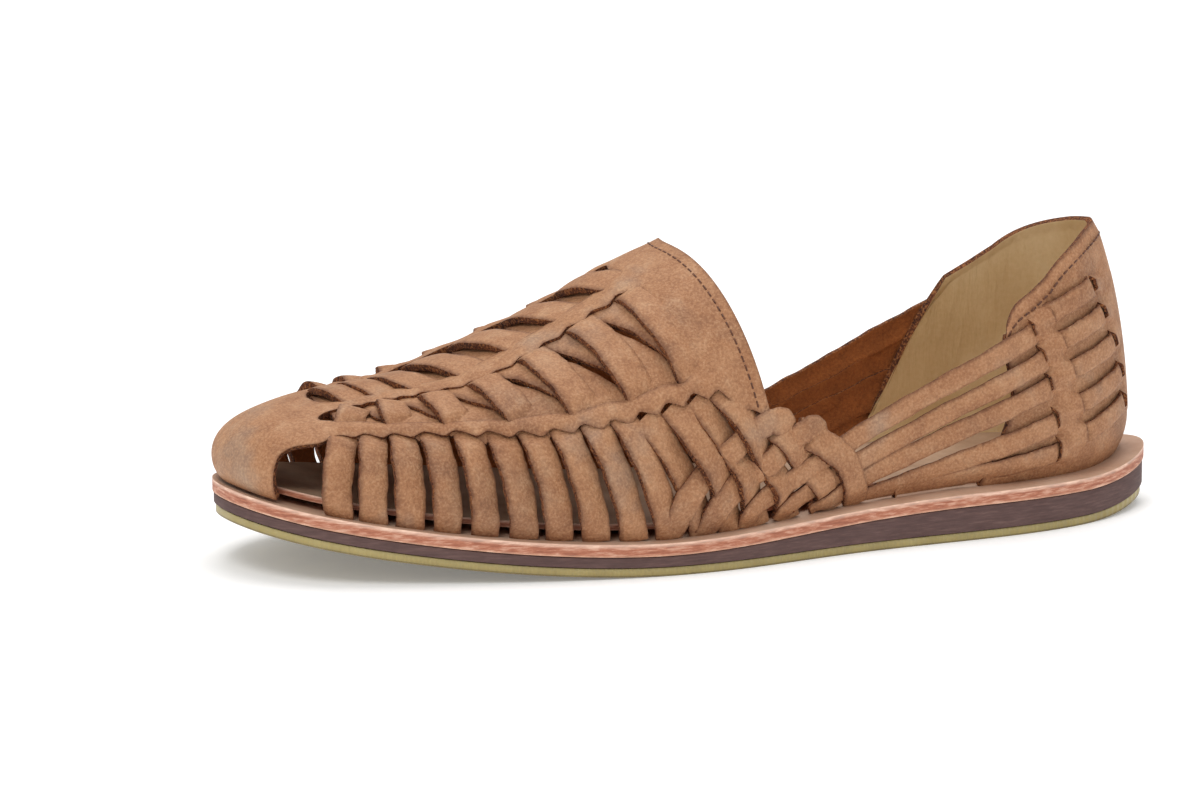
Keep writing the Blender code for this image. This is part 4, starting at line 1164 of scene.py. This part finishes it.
def web_strips():
    """Strips between the two bands: a narrow one under and a wide one over, in pairs."""
    for side, tag in SIDE_TAGS.items():
        for i in range(STRIP_COUNT):
            pair, narrow = divmod(i, 2)
            slit = slit_along(i)
            at_b = wide_at_b(pair) + (NARROW_AT_B if narrow else 0.0)
            points = [(slit, float(middle_of("a", slit * LENGTH))),
                      (at_b, float(middle_of("b", at_b * LENGTH)))]
            t, v = along_line(points, WEB_STATIONS, side)
            if narrow:
                lift = WEB_UNDER
                broader = 0.35 + 0.65 * pair / (PAIRS - 1)
                width = NARROW_WEB_STRIP + (NARROW_WEB_FULL - NARROW_WEB_STRIP) * broader
            else:
                lift = WIDE_LIFT - WIDE_SWELL + WIDE_SWELL * np.sin(np.pi * shares(WEB_STATIONS))
                broader = 0.5 + 0.5 * pair / (PAIRS - 1)
                width = STRIP_WIDTH + (WIDE_STRIP - STRIP_WIDTH) * broader
            lift = dive(t, v, lift, True, True)
            strip("web_strip_%s_%02d" % (tag, i + 1), t, v, width, lift, seed=i + 3,
                  tilt=WEB_TILT * (0.5 if narrow else 1.0), sway=WEB_SWAY * uneven(i, side, 3.0))


def draped(tree, plan, rise):
    """Plan points laid on the last from above and raised along its normal."""
    out = np.empty((len(plan), 3))
    for n, ((x, y), lift) in enumerate(zip(plan, rise)):
        # the highest of three close hits, since a single one can fall through the ridge
        found = [tree.ray_cast(Vector((x, y + off, INSTEP_HEIGHT * 2)), Vector((0, 0, -1)))
                 for off in (-RAYS_APART, 0.0, RAYS_APART)]
        found = [hit for hit in found if hit[0] is not None]
        if not found:
            found = [tree.find_nearest(Vector((x, y, INSTEP_HEIGHT)))]
        hit, normal = max(found, key=lambda one: one[0].z)[:2]
        hit = Vector((x, y, hit.z)) if len(found) > 1 else hit
        if normal.z < 0:
            normal = -normal
        out[n] = hit + normal * float(lift)
    return out


def ridge_strip(name, tree, start, end, bend, width, lift, tilt, seed):
    """A strip across the ridge, straight or bent toward the toe, seen from above."""
    share_line = shares(RIDGE_STATIONS)
    line = start + (end - start) * share_line[:, None]
    line[:, 0] = line[:, 0] - bend * np.sin(np.pi * share_line)
    run = np.gradient(line, axis=0)
    run = run / np.linalg.norm(run, axis=1)[:, None]
    across = np.column_stack([-run[:, 1], run[:, 0]])
    piece, share = cut_sheet(name, RIDGE_STATIONS, STRIP_CELLS)
    at = share[:, 0] * RIDGE_STATIONS
    station = np.arange(RIDGE_STATIONS + 1)
    side_share = (share[:, 1] - 0.5) * 2
    half = width / 2 * (1 + 0.04 * np.sin(station * 0.5 + seed * 1.9))
    plan = np.column_stack([np.interp(at, station, line[:, k])
                            + side_share * np.interp(at, station, across[:, k] * half) for k in (0, 1)])
    rise = np.interp(at, station, lift) + LEATHER - CROWN * side_share ** 2
    rise = rise + tilt * side_share * np.sin(np.pi * share[:, 0])
    # both edges darken in the nubuck finish: edge wear and painted shade
    make_leather(piece, draped(tree, plan, rise), np.clip(np.abs(side_share), 0, 1) ** 5, STRIP_THICKNESS)


def ridge_strips():
    """Over the ridge: a straight strip low between the bands, then an arc that stands proud."""
    tree = last_tree()
    share = shares(RIDGE_STATIONS)
    for pair in range(PAIRS):
        wide = wide_at_b(pair)
        narrow = wide + NARROW_AT_B
        ends = plan_point(narrow, -1), plan_point(narrow, 1)
        ridge_strip("ridge_straight_%d" % (pair + 1), tree, *ends, 0.0, STRAIGHT_WIDTH,
                    np.full(RIDGE_STATIONS + 1, RIDGE_UNDER), STRAIGHT_TILT, pair)
        arc = wide + ARC_FROM_WIDE
        ends = plan_point(arc, -1), plan_point(max(arc + ARC_SHIFT, ARC_FRONT_LIMIT), 1)
        lift = RIDGE_UNDER + ARC_START + (ARC_RISE + ARC_PROUD) * np.sin(np.pi * share) ** 0.8
        ridge_strip("ridge_arc_%d" % (pair + 1), tree, *ends, ARC_BEND, ARC_OVER_WIDTH, lift,
                    ARC_TILT, pair + 9)


def rising_strips():
    """The waist's strips that start from the sole and rise toward the heel."""
    for side, tag in SIDE_TAGS.items():
        for index in range(len(RISING_STRIPS)):
            t, v = along_line(rising_line(index), RISING_STATIONS, side)
            lift = SIDE_LIFT + weave_wave(shares(RISING_STATIONS), index, False)
            lift = dive(t, v, lift, False, True, *UNDER_PLAIT)
            strip("rising_strip_%s_%d" % (tag, index + 1), t, v, WEAVE_WIDTH, lift, foot_end=True,
                  seed=index + 5)


def straight_line(start, end, count, side):
    """Stations on the last that look straight from the side, between two (along, girth)."""
    ends = [last_point(along * LENGTH, side * girth) for along, girth in (start, end)]
    t = np.linspace(start[0], end[0], count + 1) * LENGTH
    height = ends[0][2] + (ends[1][2] - ends[0][2]) * shares(count)
    high = np.full(count + 1, 0.30)
    low = np.full(count + 1, 1.0)
    for _ in range(24):
        middle = 0.5 * (high + low)
        above = last_point(t, side * middle)[:, 2] > height
        high = np.where(above, middle, high)
        low = np.where(above, low, middle)
    return t, side * 0.5 * (high + low)


def rear_straps():
    """Straps from the sole in the waist to their slits in the counter, and the short
    pieces of them that show again between the bridges."""
    for side, tag in SIDE_TAGS.items():
        for n, row in enumerate(REAR_STRAPS):
            waist = rising_line(len(RISING_STRIPS) + n)
            t, v = along_line(waist, STRAP_LOW_STATIONS, side)
            slit = (SLIT_ALONG[n] + STRAP_PAST_SLIT, row[5])
            t_high, v_high = straight_line(waist[-1], slit, LONG_STATIONS, side)
            lift = np.full(STRAP_LOW_STATIONS + 1, SIDE_LIFT)
            if n < WOVEN_STRAPS:
                lift = lift + weave_wave(shares(STRAP_LOW_STATIONS), len(RISING_STRIPS) + n, False)
            margin = COUNTER_MARGIN + COUNTER_CLIMB_START[side]
            over = ease(np.clip((t_high - t_high[-1] + margin) / COUNTER_CLIMB, 0, 1))
            high = SIDE_LIFT + (OVER_COUNTER - 0.0005 + 0.0003 * (n % 2) - SIDE_LIFT) * over
            t = np.concatenate([t, t_high[1:]])
            v = np.concatenate([v, v_high[1:]])
            lift = np.concatenate([lift, high[1:]])
            for line in (v, lift):
                smooth = np.convolve(np.pad(line, 4, mode="edge"), np.ones(9) / 9, mode="valid")
                line[6:-6] = smooth[6:-6]
            lift = dive(t, v, lift, False, True, *INTO_SLIT)
            inner_width = INNER_STRAP_WIDTH + (BROADER_BY if n in BROAD_INNER_STRAPS else 0.0)
            width = REAR_STRAP_WIDTH if side < 0 else inner_width
            strip("rear_strap_%s_%d" % (tag, n + 1), t, v, width * (1 + 0.05 * uneven(n, side)), lift,
                  thickness=REAR_STRAP_LEATHER, foot_end=True, seed=n + 7, sway=SIDE_SWAY * uneven(n, side, 5.0))
            points = [(BRIDGE_REAR_ALONG[n] - SHOWN_TUCK, row[6] + SHOWN_TUCK_GIRTH),
                      (SHOWN_END_ALONG[n] + SHOWN_TUCK, row[7] - SHOWN_TUCK_GIRTH)]
            t, v = along_line(points, SHORT_STATIONS, side)
            lift = SHOWN_LIFT + SHOWN_RISE + SHOWN_SWELL * np.sin(np.pi * shares(SHORT_STATIONS))
            lift = dive(t, v, lift, True, True, *INTO_BRIDGE)
            strip("heel_strap_%s_%d" % (tag, n + 1), t, v, STRAP_WIDTH * 0.88, lift,
                  thickness=HEEL_STRAP_LEATHER, seed=n + 11)


# Hide cut with windows, and the heel counter


def window(du, dv, rounding=CORNER_ROUND):
    """Distance inside a window from its two pairs of sides, corners rounded."""
    corner = rounding - np.hypot(np.maximum(rounding - du, 0), np.maximum(rounding - dv, 0))
    return np.where((du > rounding) | (dv > rounding), np.minimum(du, dv), corner)


def slit_teeth(t, centres, half):
    """-1 at the toe side of each strip to 1 at its heel side, back again between them."""
    centres = np.sort(np.array(centres))
    knots = np.column_stack([centres - half, centres + half]).ravel()
    level = np.tile([-1.0, 1.0], len(centres))
    knots = np.concatenate([[knots[0] - 0.004], knots, [knots[-1] + 0.004]])
    level = np.concatenate([[0.0], level, [0.0]])
    rounded = [np.interp(t + shift, knots, level) for shift in (-0.0012, -0.0006, 0.0, 0.0006, 0.0012)]
    return sum(rounded) / len(rounded)


A_SLITS = [slit_along(i) * LENGTH for i in range(STRIP_COUNT)]
B_SLITS = [wide_at_b(k) * LENGTH for k in range(PAIRS)]
B_NARROW_SLITS = [(wide_at_b(k) + NARROW_AT_B) * LENGTH for k in range(PAIRS)]
BAND_SWELLS = (
    # band, strips beneath, height, half length, half girth
    ("a", A_SLITS, 0.0008, 0.0034, 0.030),
    ("b", B_SLITS, 0.0007, 0.0045, 0.040),
)


def waved_edge(t, which, slits):
    """A band's cut edge, waved where strips pass it."""
    off, height, gain, half = EDGE_WAVES[which]
    toward_throat = np.clip((t + 0.125) / 0.105, 0, 1)
    return band_edge(t, which) + off + (height + gain * toward_throat) * slit_teeth(t, slits, half)


def hide_left(t, v):
    """Positive where the vamp's hide is left, negative in windows; about metres."""
    g = np.abs(v)
    a_low = waved_edge(t, "a_low", A_SLITS)
    a_top = waved_edge(t, "a_top", A_SLITS[::2])
    b_low = waved_edge(t, "b_low", B_SLITS + B_NARROW_SLITS)
    b_top = band_edge(t, "b_top")
    rear = WINDOW_REAR + WINDOW_REAR_SKEW * g - t
    side = window(t - TOE_HOLE, (g - a_low) * GIRTH_SIZE, TOE_HOLE_ROUND)
    web = window(np.minimum(t - WINDOW_START * LENGTH, rear), np.minimum(a_top - g, g - b_low) * GIRTH_SIZE)
    x = last_point(t, v)[..., 0]
    ridge = window(np.minimum(x - RIDGE_WINDOW_X, rear), (b_top - g) * GIRTH_SIZE)
    left = np.minimum(-side, np.minimum(-web, -ridge))
    return np.minimum(left, throat_distance(t, g))


def snap_to_cut(t, v, rim, field):
    """Slide the rim's points in t and v onto the line where the field is zero."""
    t, v = t.copy(), v.copy()
    step = 0.0002
    for _ in range(4):
        tr, vr = t[rim], v[rim]
        here = field(tr, vr)
        dt = (field(tr + step, vr) - field(tr - step, vr)) / (2 * step)
        dv = (field(tr, vr + step / GIRTH_SIZE) - field(tr, vr - step / GIRTH_SIZE)) / (2 * step)
        size = np.maximum(dt * dt + dv * dv, 0.15)
        move = np.clip(here, -HIDE_STEP, HIDE_STEP) / size
        t[rim] = tr - move * dt
        v[rim] = vr - move * dv / GIRTH_SIZE
    return t, v


def hide_lift(t, v):
    """Height of the hide's outer face over the last."""
    g = np.abs(v)
    lift = np.full(len(t), BAND_LIFT + LEATHER)
    # long bands swell where a strip passes beneath them
    for band, slits, height, length, spread in BAND_SWELLS:
        middle = middle_of(band, t)
        for slit in slits:
            lift = lift + height * np.exp(-(((t - slit) / length) ** 2) - (((g - middle) / spread) ** 2))
    # slow unevenness of a hand-drawn hide
    toe_fade = np.clip((t - TOE_T) / 0.012, 0, 1)
    lift = lift + HIDE_WAVE * np.sin(t / 0.013 + 1.0) * np.sin(v * 9.0 + 0.7) * toe_fade
    # cut edges are pressed down where strips pass; the throat's folded edge is thicker
    throat = throat_distance(t, g)
    lift = lift - PRESSED_EDGE * np.exp(-((hide_left(t, v) / 0.0016) ** 2)) * (np.abs(throat) > 0.004)
    near = np.exp(-((throat / 0.0045) ** 2))
    droop = np.exp(-((throat / 0.0085) ** 2)) * np.exp(-((g / 0.26) ** 2))
    return lift + FOLDED_EDGE * near * np.clip(g / 0.3, 0, 1) - THROAT_DROOP * droop


def vamp_hide():
    """Toe cap, long bands and throat panel: one hide, cut flat and drawn over the last."""
    length = VAMP_END - TOE_T
    columns = int(round(length / HIDE_STEP))
    rows = 2 * int(round(HALF_GIRTH / HIDE_STEP))
    piece, share = cut_sheet("vamp_hide", columns, rows)
    flat = np.column_stack([TOE_T + length * share[:, 0], (share[:, 1] * 2 - 1) * GIRTH_SIZE,
                            np.zeros(len(share))])
    place_points(piece, flat)
    cut_away(piece, lambda m: hide_left(m[:, 0], m[:, 1] / GIRTH_SIZE) > 0)
    flat = points_of(piece)
    t, v = flat[:, 0], flat[:, 1] / GIRTH_SIZE
    inner_rim = rim_points(piece) & (np.abs(v) < 0.998) & (t > TOE_T + 0.0005)
    t, v = snap_to_cut(t, v, inner_rim, hide_left)
    v = np.clip(v, -1, 1)
    # the hide darkens along its cut edges: edge wear and painted shade
    rims = 0.75 * np.exp(-((hide_left(t, v) / 0.0008) ** 2))
    make_leather(piece, skin(t, v, hide_lift(t, v)), rims, LEATHER)


def throat_distance(t, g):
    return THROAT_EDGE + THROAT_EDGE_SKEW * (np.sqrt(g * g + 0.012) - 0.0194) - t


# The inner side's lining reaches further forward at the sole. girth, along.
INNER_COUNTER_FRONT = (
    (0.720, 0.2911),
    (0.780, 0.2660),
    (0.827, 0.2493),
    (0.900, 0.2320),
    (1.000, 0.2190),
)


def counter_point(share, level, side):
    """(t, v) on the counter: share 0 front to 1 heel, level 0 sole to 1 topline."""
    girth = np.ones(share.shape)
    along = np.zeros(share.shape)
    for _ in range(6):
        front = np.where(np.broadcast_to(side, girth.shape) < 0, through_table(girth, COUNTER_FRONT, 1),
                         through_table(girth, INNER_COUNTER_FRONT, 1))
        along = front + (HEEL_ALONG - front) * share
        top = through_table(along, TOPLINE, 1)
        girth = FEATHER + (top - FEATHER) * level
    return np.minimum(along * LENGTH, HEEL_T), side * girth


def heel_counter():
    """One sheet round the heel, suede lined in cream, its topline gently waved."""
    piece, share = cut_sheet("heel_counter", 150, 60)
    side = np.where(share[:, 0] < 0.5, -1.0, 1.0)
    along = 1 - np.abs(share[:, 0] * 2 - 1)
    # the corner where the front edge meets the topline is cut round
    from_front = np.clip(1 - along / CORNER_ALONG, 0, 1)
    from_top = np.clip(1 - (1 - share[:, 1]) / CORNER_DOWN, 0, 1)
    turn = np.maximum(from_front, from_top) / np.maximum(np.hypot(from_front, from_top), 1e-6)
    turn = np.where((from_front > 0) & (from_top > 0), turn, 1.0)
    along = np.where(from_front > 0, CORNER_ALONG * (1 - from_front * turn), along)
    up = np.where(from_top > 0, 1 - CORNER_DOWN * (1 - from_top * turn), share[:, 1])
    t, v = counter_point(along, up, side)
    lift = COUNTER_LIFT + LEATHER + COUNTER_WAVE * np.sin(t / 0.006) * share[:, 1]
    lift = lift - TOPLINE_TURN * np.clip((share[:, 1] - 0.93) / 0.07, 0, 1)
    points = skin(t, v, lift)
    points[:, 2] -= (1 - share[:, 1]) ** 12 * FOOT_DROP
    # darkening at the topline and the front edge: edge wear and painted shade
    rims = np.maximum(np.clip((share[:, 1] - 0.965) / 0.035, 0, 1), np.clip(1 - along / 0.03, 0, 1))
    make_leather(piece, points, rims, LEATHER, LINING, COUNTER_ROUND)


def near_strap(girth, centres):
    """1 where a strap enters its slit at this girth, 0 between straps."""
    apart = np.min(np.abs(np.asarray(girth)[:, None] - np.asarray(centres)[None, :]), axis=1)
    return ease(np.clip(1.5 - apart / 0.019, 0, 1))


def slit_line(girth, girths, places):
    """The line through the slits, as along for each girth."""
    order = np.argsort(girths)
    return np.interp(girth, np.array(girths)[order], np.array(places)[order])


def counter_bridges():
    """Leather that bulges over the straps where they enter their slits, and lies flush with
    the counter between them: a band behind the front slits, and the back of the heel."""
    fronts, rears, ends = ([row[k] for row in REAR_STRAPS] for k in (5, 6, 7))
    base = COUNTER_LIFT + LEATHER + BRIDGE_OFF
    lowest = COUNTER_LIFT + BRIDGE_FLOOR
    for side, tag in SIDE_TAGS.items():
        piece, share = cut_sheet("counter_bridge_" + tag, 20, 110)
        across, level = share[:, 0], share[:, 1]
        girth = 1.0 - level * (1.0 - BRIDGE_TOP)
        at_front = near_strap(girth, fronts)
        at_rear = near_strap(girth, rears)
        front = slit_line(girth, fronts, SLIT_ALONG) - BRIDGE_PAST + BRIDGE_BITE * at_front
        rear = slit_line(girth, rears, BRIDGE_REAR_ALONG) + BRIDGE_PAST - BRIDGE_BITE * at_rear
        front_edge = np.clip(1 - across / 0.40, 0, 1)
        rear_edge = np.clip(1 - (1 - across) / 0.40, 0, 1)
        lift = base + BRIDGE_SWELL * (at_front * (1 - across) + at_rear * across)
        lift = lift - BRIDGE_PRESSED * (front_edge * (1 - at_front) + rear_edge * (1 - at_rear))
        top = np.clip((level - 0.90) / 0.10, 0, 1)
        lift = np.maximum(lift - BRIDGE_END_DROP * top * top, lowest)
        along = front + (rear - front) * across
        # darkening where the bridge's edges bulge over the straps at their slits: edge wear and painted shade
        rims = np.maximum(front_edge ** 6 * at_front, rear_edge ** 6 * at_rear)
        make_leather(piece, skin(along * LENGTH, side * girth, lift), rims, BRIDGE_LEATHER)
    piece, share = cut_sheet("heel_back_bridge", 80, 110)
    side = np.where(share[:, 0] < 0.5, -1.0, 1.0)
    across = 1 - np.abs(share[:, 0] * 2 - 1)
    level = share[:, 1]
    girth = BACK_BRIDGE_LOW - level * (BACK_BRIDGE_LOW - BACK_BRIDGE_TOP)
    at_end = near_strap(girth, ends)
    front = slit_line(girth, ends, SHOWN_END_ALONG) - BRIDGE_PAST + BRIDGE_BITE * at_end
    edge = np.clip(1 - across / 0.35, 0, 1)
    lift = base + BRIDGE_SWELL * at_end * edge - BRIDGE_PRESSED * edge * (1 - at_end)
    rim = np.clip((np.abs(level * 2 - 1) - 0.82) / 0.18, 0, 1)
    lift = np.maximum(lift - BRIDGE_END_DROP * rim * rim, lowest)
    along = front + (HEEL_ALONG - front) * across
    # its front edge darkens over each strap end: edge wear and painted shade
    make_leather(piece, skin(np.minimum(along * LENGTH, HEEL_T), side * girth, lift), edge ** 6 * at_end,
                 BRIDGE_LEATHER)


# Where two rising strips turn over the collar's edge and come down again: the start,
# the pull and the end of each loop. along, girth, three times.
COLLAR_LOOPS = (
    (0.0040, 0.803, 0.0460, 0.742, 0.0540, 0.848),
    (0.0440, 0.858, 0.0830, 0.790, 0.0900, 0.874),
)


def collar_loops():
    """The rounded turns that show at the waist's upper edge."""
    share = shares(SHORT_STATIONS)
    weights = (1 - share) ** 2, 2 * share * (1 - share), share ** 2
    for side, tag in SIDE_TAGS.items():
        for n, (a0, g0, a1, g1, a2, g2) in enumerate(COLLAR_LOOPS):
            t = (weights[0] * a0 + weights[1] * a1 + weights[2] * a2) * LENGTH
            v = side * (weights[0] * g0 + weights[1] * g1 + weights[2] * g2)
            lift = SIDE_LIFT + SIDE_RISE + LOOP_SWELL * np.sin(np.pi * share)
            lift = dive(t, v, lift, True, True, *LOOP_ENDS)
            strip("collar_loop_%s_%d" % (tag, n + 1), t, v, STRIP_WIDTH, lift, crown=2 * CROWN, seed=n + 21)


# Stitches


def stitch_shape():
    """One stitch: a short rod with narrowed ends, as its points and faces."""
    deselect()
    bpy.ops.mesh.primitive_cylinder_add(vertices=6, radius=STITCH_WIDTH / 2, depth=STITCH_LENGTH)
    first = bpy.context.object
    with edit_mode():
        bpy.ops.mesh.select_mode(type="FACE")
        bpy.ops.mesh.select_all(action="DESELECT")
    for face in first.data.polygons:
        face.select = abs(face.normal.z) > 0.9
    with edit_mode():
        bpy.ops.mesh.extrude_region_shrink_fatten(TRANSFORM_OT_shrink_fatten={"value": 0.0002})
        bpy.ops.transform.resize(value=(0.5, 0.5, 1.0))
    shape = points_of(first)
    faces = [tuple(face.vertices) for face in first.data.polygons]
    bpy.data.objects.remove(first)
    return shape, faces


def stitch_row(name, t, v, lift):
    """A run of short stitches along stations (t, v), one modelled, the others copied."""
    points = skin(t, v, lift)
    normals = last_frame(t, v)[1]
    arc = run_along(points)
    pitch = STITCH_LENGTH + STITCH_GAP
    shape, faces = stitch_shape()
    bend = (shape[:, 2] / (STITCH_LENGTH / 2)) ** 2
    all_points = []
    all_faces = []

    def at(run, line):
        return np.array([np.interp(run, arc, line[:, k]) for k in range(3)])

    for n in range(int(arc[-1] / pitch)):
        middle = (n + 0.5) * pitch
        centre = at(middle, points)
        ahead = at(middle + 0.001, points) - centre
        ahead = ahead / max(np.linalg.norm(ahead), 1e-9)
        across = np.cross(at(middle, normals), ahead)
        across = across / np.linalg.norm(across)
        up = np.cross(ahead, across)
        base = len(all_points) * len(shape)
        all_points.append(centre + np.outer(shape[:, 2], ahead) + np.outer(shape[:, 0], across)
                          + np.outer(shape[:, 1] - STITCH_SINK * bend, up))
        all_faces.extend(tuple(a + base for a in face) for face in faces)
    mesh = bpy.data.meshes.new(name)
    mesh.from_pydata(np.concatenate(all_points).tolist(), [], all_faces)
    piece = bpy.data.objects.new(name, mesh)
    bpy.context.scene.collection.objects.link(piece)
    mesh.materials.append(THREAD)
    make_active(piece)
    bpy.ops.object.shade_smooth()
    wear(piece, "hide_tan")


def stitching():
    g = np.linspace(-THROAT_ROW_GIRTH, THROAT_ROW_GIRTH, 160)
    t = throat_distance(0.0, np.abs(g)) - THROAT_ROW_INSET
    stitch_row("throat_stitches", t, g, hide_lift(t, g) + STITCH_LIFT)
    for side, tag in SIDE_TAGS.items():
        share = np.linspace(0.02, 1.0, 120)
        t, v = counter_point(share, np.full(120, 1.0), side)
        v = side * (np.abs(v) + TOPLINE_ROW_DROP)
        stitch_row("topline_stitches_" + tag, t, v, COUNTER_LIFT + LEATHER + TOPLINE_STITCH_LIFT)


# Sole


def outline_sheet(name, ring):
    """A flat sheet whose border follows a closed plan ring; its ends are the toe's and the
    heel's arcs, so that no corner comes to a point."""
    piece, share = cut_sheet(name, 200, 26)
    ring = np.roll(ring, -int(np.argmin(ring[:, 0])), axis=0)
    closed = np.concatenate([ring, ring[:1]])
    arc = run_along(closed)
    whole = arc[-1]
    heel = arc[int(np.argmax(ring[:, 0]))]
    end = END_ARC / 2

    def at(run):
        run = np.mod(run, whole)
        return np.column_stack([np.interp(run, arc, closed[:, k]) for k in (0, 1)])

    u, w = share[:, 0], share[:, 1]
    low = at(end + (heel - 2 * end) * u)
    high = at(whole - end - (whole - heel - 2 * end) * u)
    toe_arc = at(end * (1 - 2 * w))
    heel_arc = at(heel - end + 2 * end * w)
    corners = [at(np.full(len(u), run)) for run in (end, -end, heel - end, heel + end)]
    u, w = u[:, None], w[:, None]
    plan = (1 - w) * low + w * high + (1 - u) * toe_arc + u * heel_arc
    plan = plan - (1 - u) * ((1 - w) * corners[0] + w * corners[1])
    plan = plan - u * ((1 - w) * corners[2] + w * corners[3])
    return piece, plan


def sole_layer(name, ring, bottom, top, outside, slot, node, rounding):
    """A layer of the sole: sheet cut to the outline, raised to its thickness, edges eased."""
    piece, plan = outline_sheet(name, ring)
    place_points(piece, np.column_stack([plan, bottom(plan[:, 0])]))
    face_outward(piece, lambda m: np.tile([0.0, 0.0, -1.0], (len(m), 1)))
    with edit_mode("SELECT"):
        bpy.ops.mesh.extrude_region_move(TRANSFORM_OT_translate={"value": (0, 0, 0.001)})
    raised = read_array(piece.data.vertices, "select", 1, bool)[:, 0]
    points = points_of(piece)
    points[:, 2] = np.where(raised, top(points[:, 0]), bottom(points[:, 0]))
    place_points(piece, points)
    mark_points(piece, "layer", raised)
    with edit_mode("SELECT"):
        bpy.ops.mesh.normals_make_consistent(inside=False)
    piece.data.materials.append(outside)
    round_edges(piece, rounding, 3, SHARP_ANGLE)
    wear(piece, slot, node)


def sole():
    ring = sole_outline()[0]
    sole_layer("platform_layer", ring, platform_bottom, platform_top, PLATFORM_HIDE,
               "natural_leather", "platform", 0.0006)
    sole_layer("wedge_layer", inset(ring, np.full(len(ring), MIDSOLE_INSET)), midsole_bottom, midsole_top,
               WEDGE_RUBBER, "dark_rubber", "midsole", 0.0003)
    sole_layer("gum_layer", inset(ring, np.full(len(ring), OUTSOLE_INSET)), tread_z, outsole_top,
               GUM_RUBBER, "gum_rubber", "outsole", 0.0005)
    bed = foot_line(400, INSOLE_CLEARANCE)
    sole_layer("footbed_leather_sheet", bed, insole_bottom, insole_top, FOOTBED_HIDE,
               "footbed_leather", "insole", 0.0004)


# Studio


def studio():
    deselect()
    bpy.ops.mesh.primitive_plane_add(size=12.0, location=(0, 0, 0))
    floor = bpy.context.object
    floor.name = "studio_floor"
    floor.data.materials.append(studio_paper())
    scene = bpy.context.scene
    world = bpy.data.worlds.new("studio")
    world.use_nodes = True
    feed(world.node_tree, world.node_tree.nodes["Background"], Color="ffffff", Strength=0.62)
    scene.world = world
    scene.view_settings.view_transform = "Standard"
    scene.view_settings.look = "None"
    for name, place, size, watts in LAMPS:
        light = bpy.data.lights.new(name, "AREA")
        light.energy = watts
        light.size = size
        lamp = bpy.data.objects.new(name, light)
        scene.collection.objects.link(lamp)
        lamp.location = place
        lamp.rotation_euler = (Vector((0, 0, 0.03)) - Vector(place)).to_track_quat("-Z", "Y").to_euler()
    data = bpy.data.cameras.new("photo_camera")
    data.sensor_width = 36.0
    data.lens = PHOTO_LENS
    camera = bpy.data.objects.new("photo_camera", data)
    scene.collection.objects.link(camera)
    back = Vector(PHOTO_BACK).normalized()
    right = Vector(PHOTO_RIGHT).normalized()
    camera.location = Vector(PHOTO_EYE)
    camera.rotation_euler = Matrix((right, back.cross(right), back)).transposed().to_euler()
    scene.camera = camera


def build():
    vamp_hide()
    heel_counter()
    counter_bridges()
    side_strips()
    rising_strips()
    collar_loops()
    rear_straps()
    web_strips()
    ridge_strips()
    stitching()
    sole()
    studio()


build()
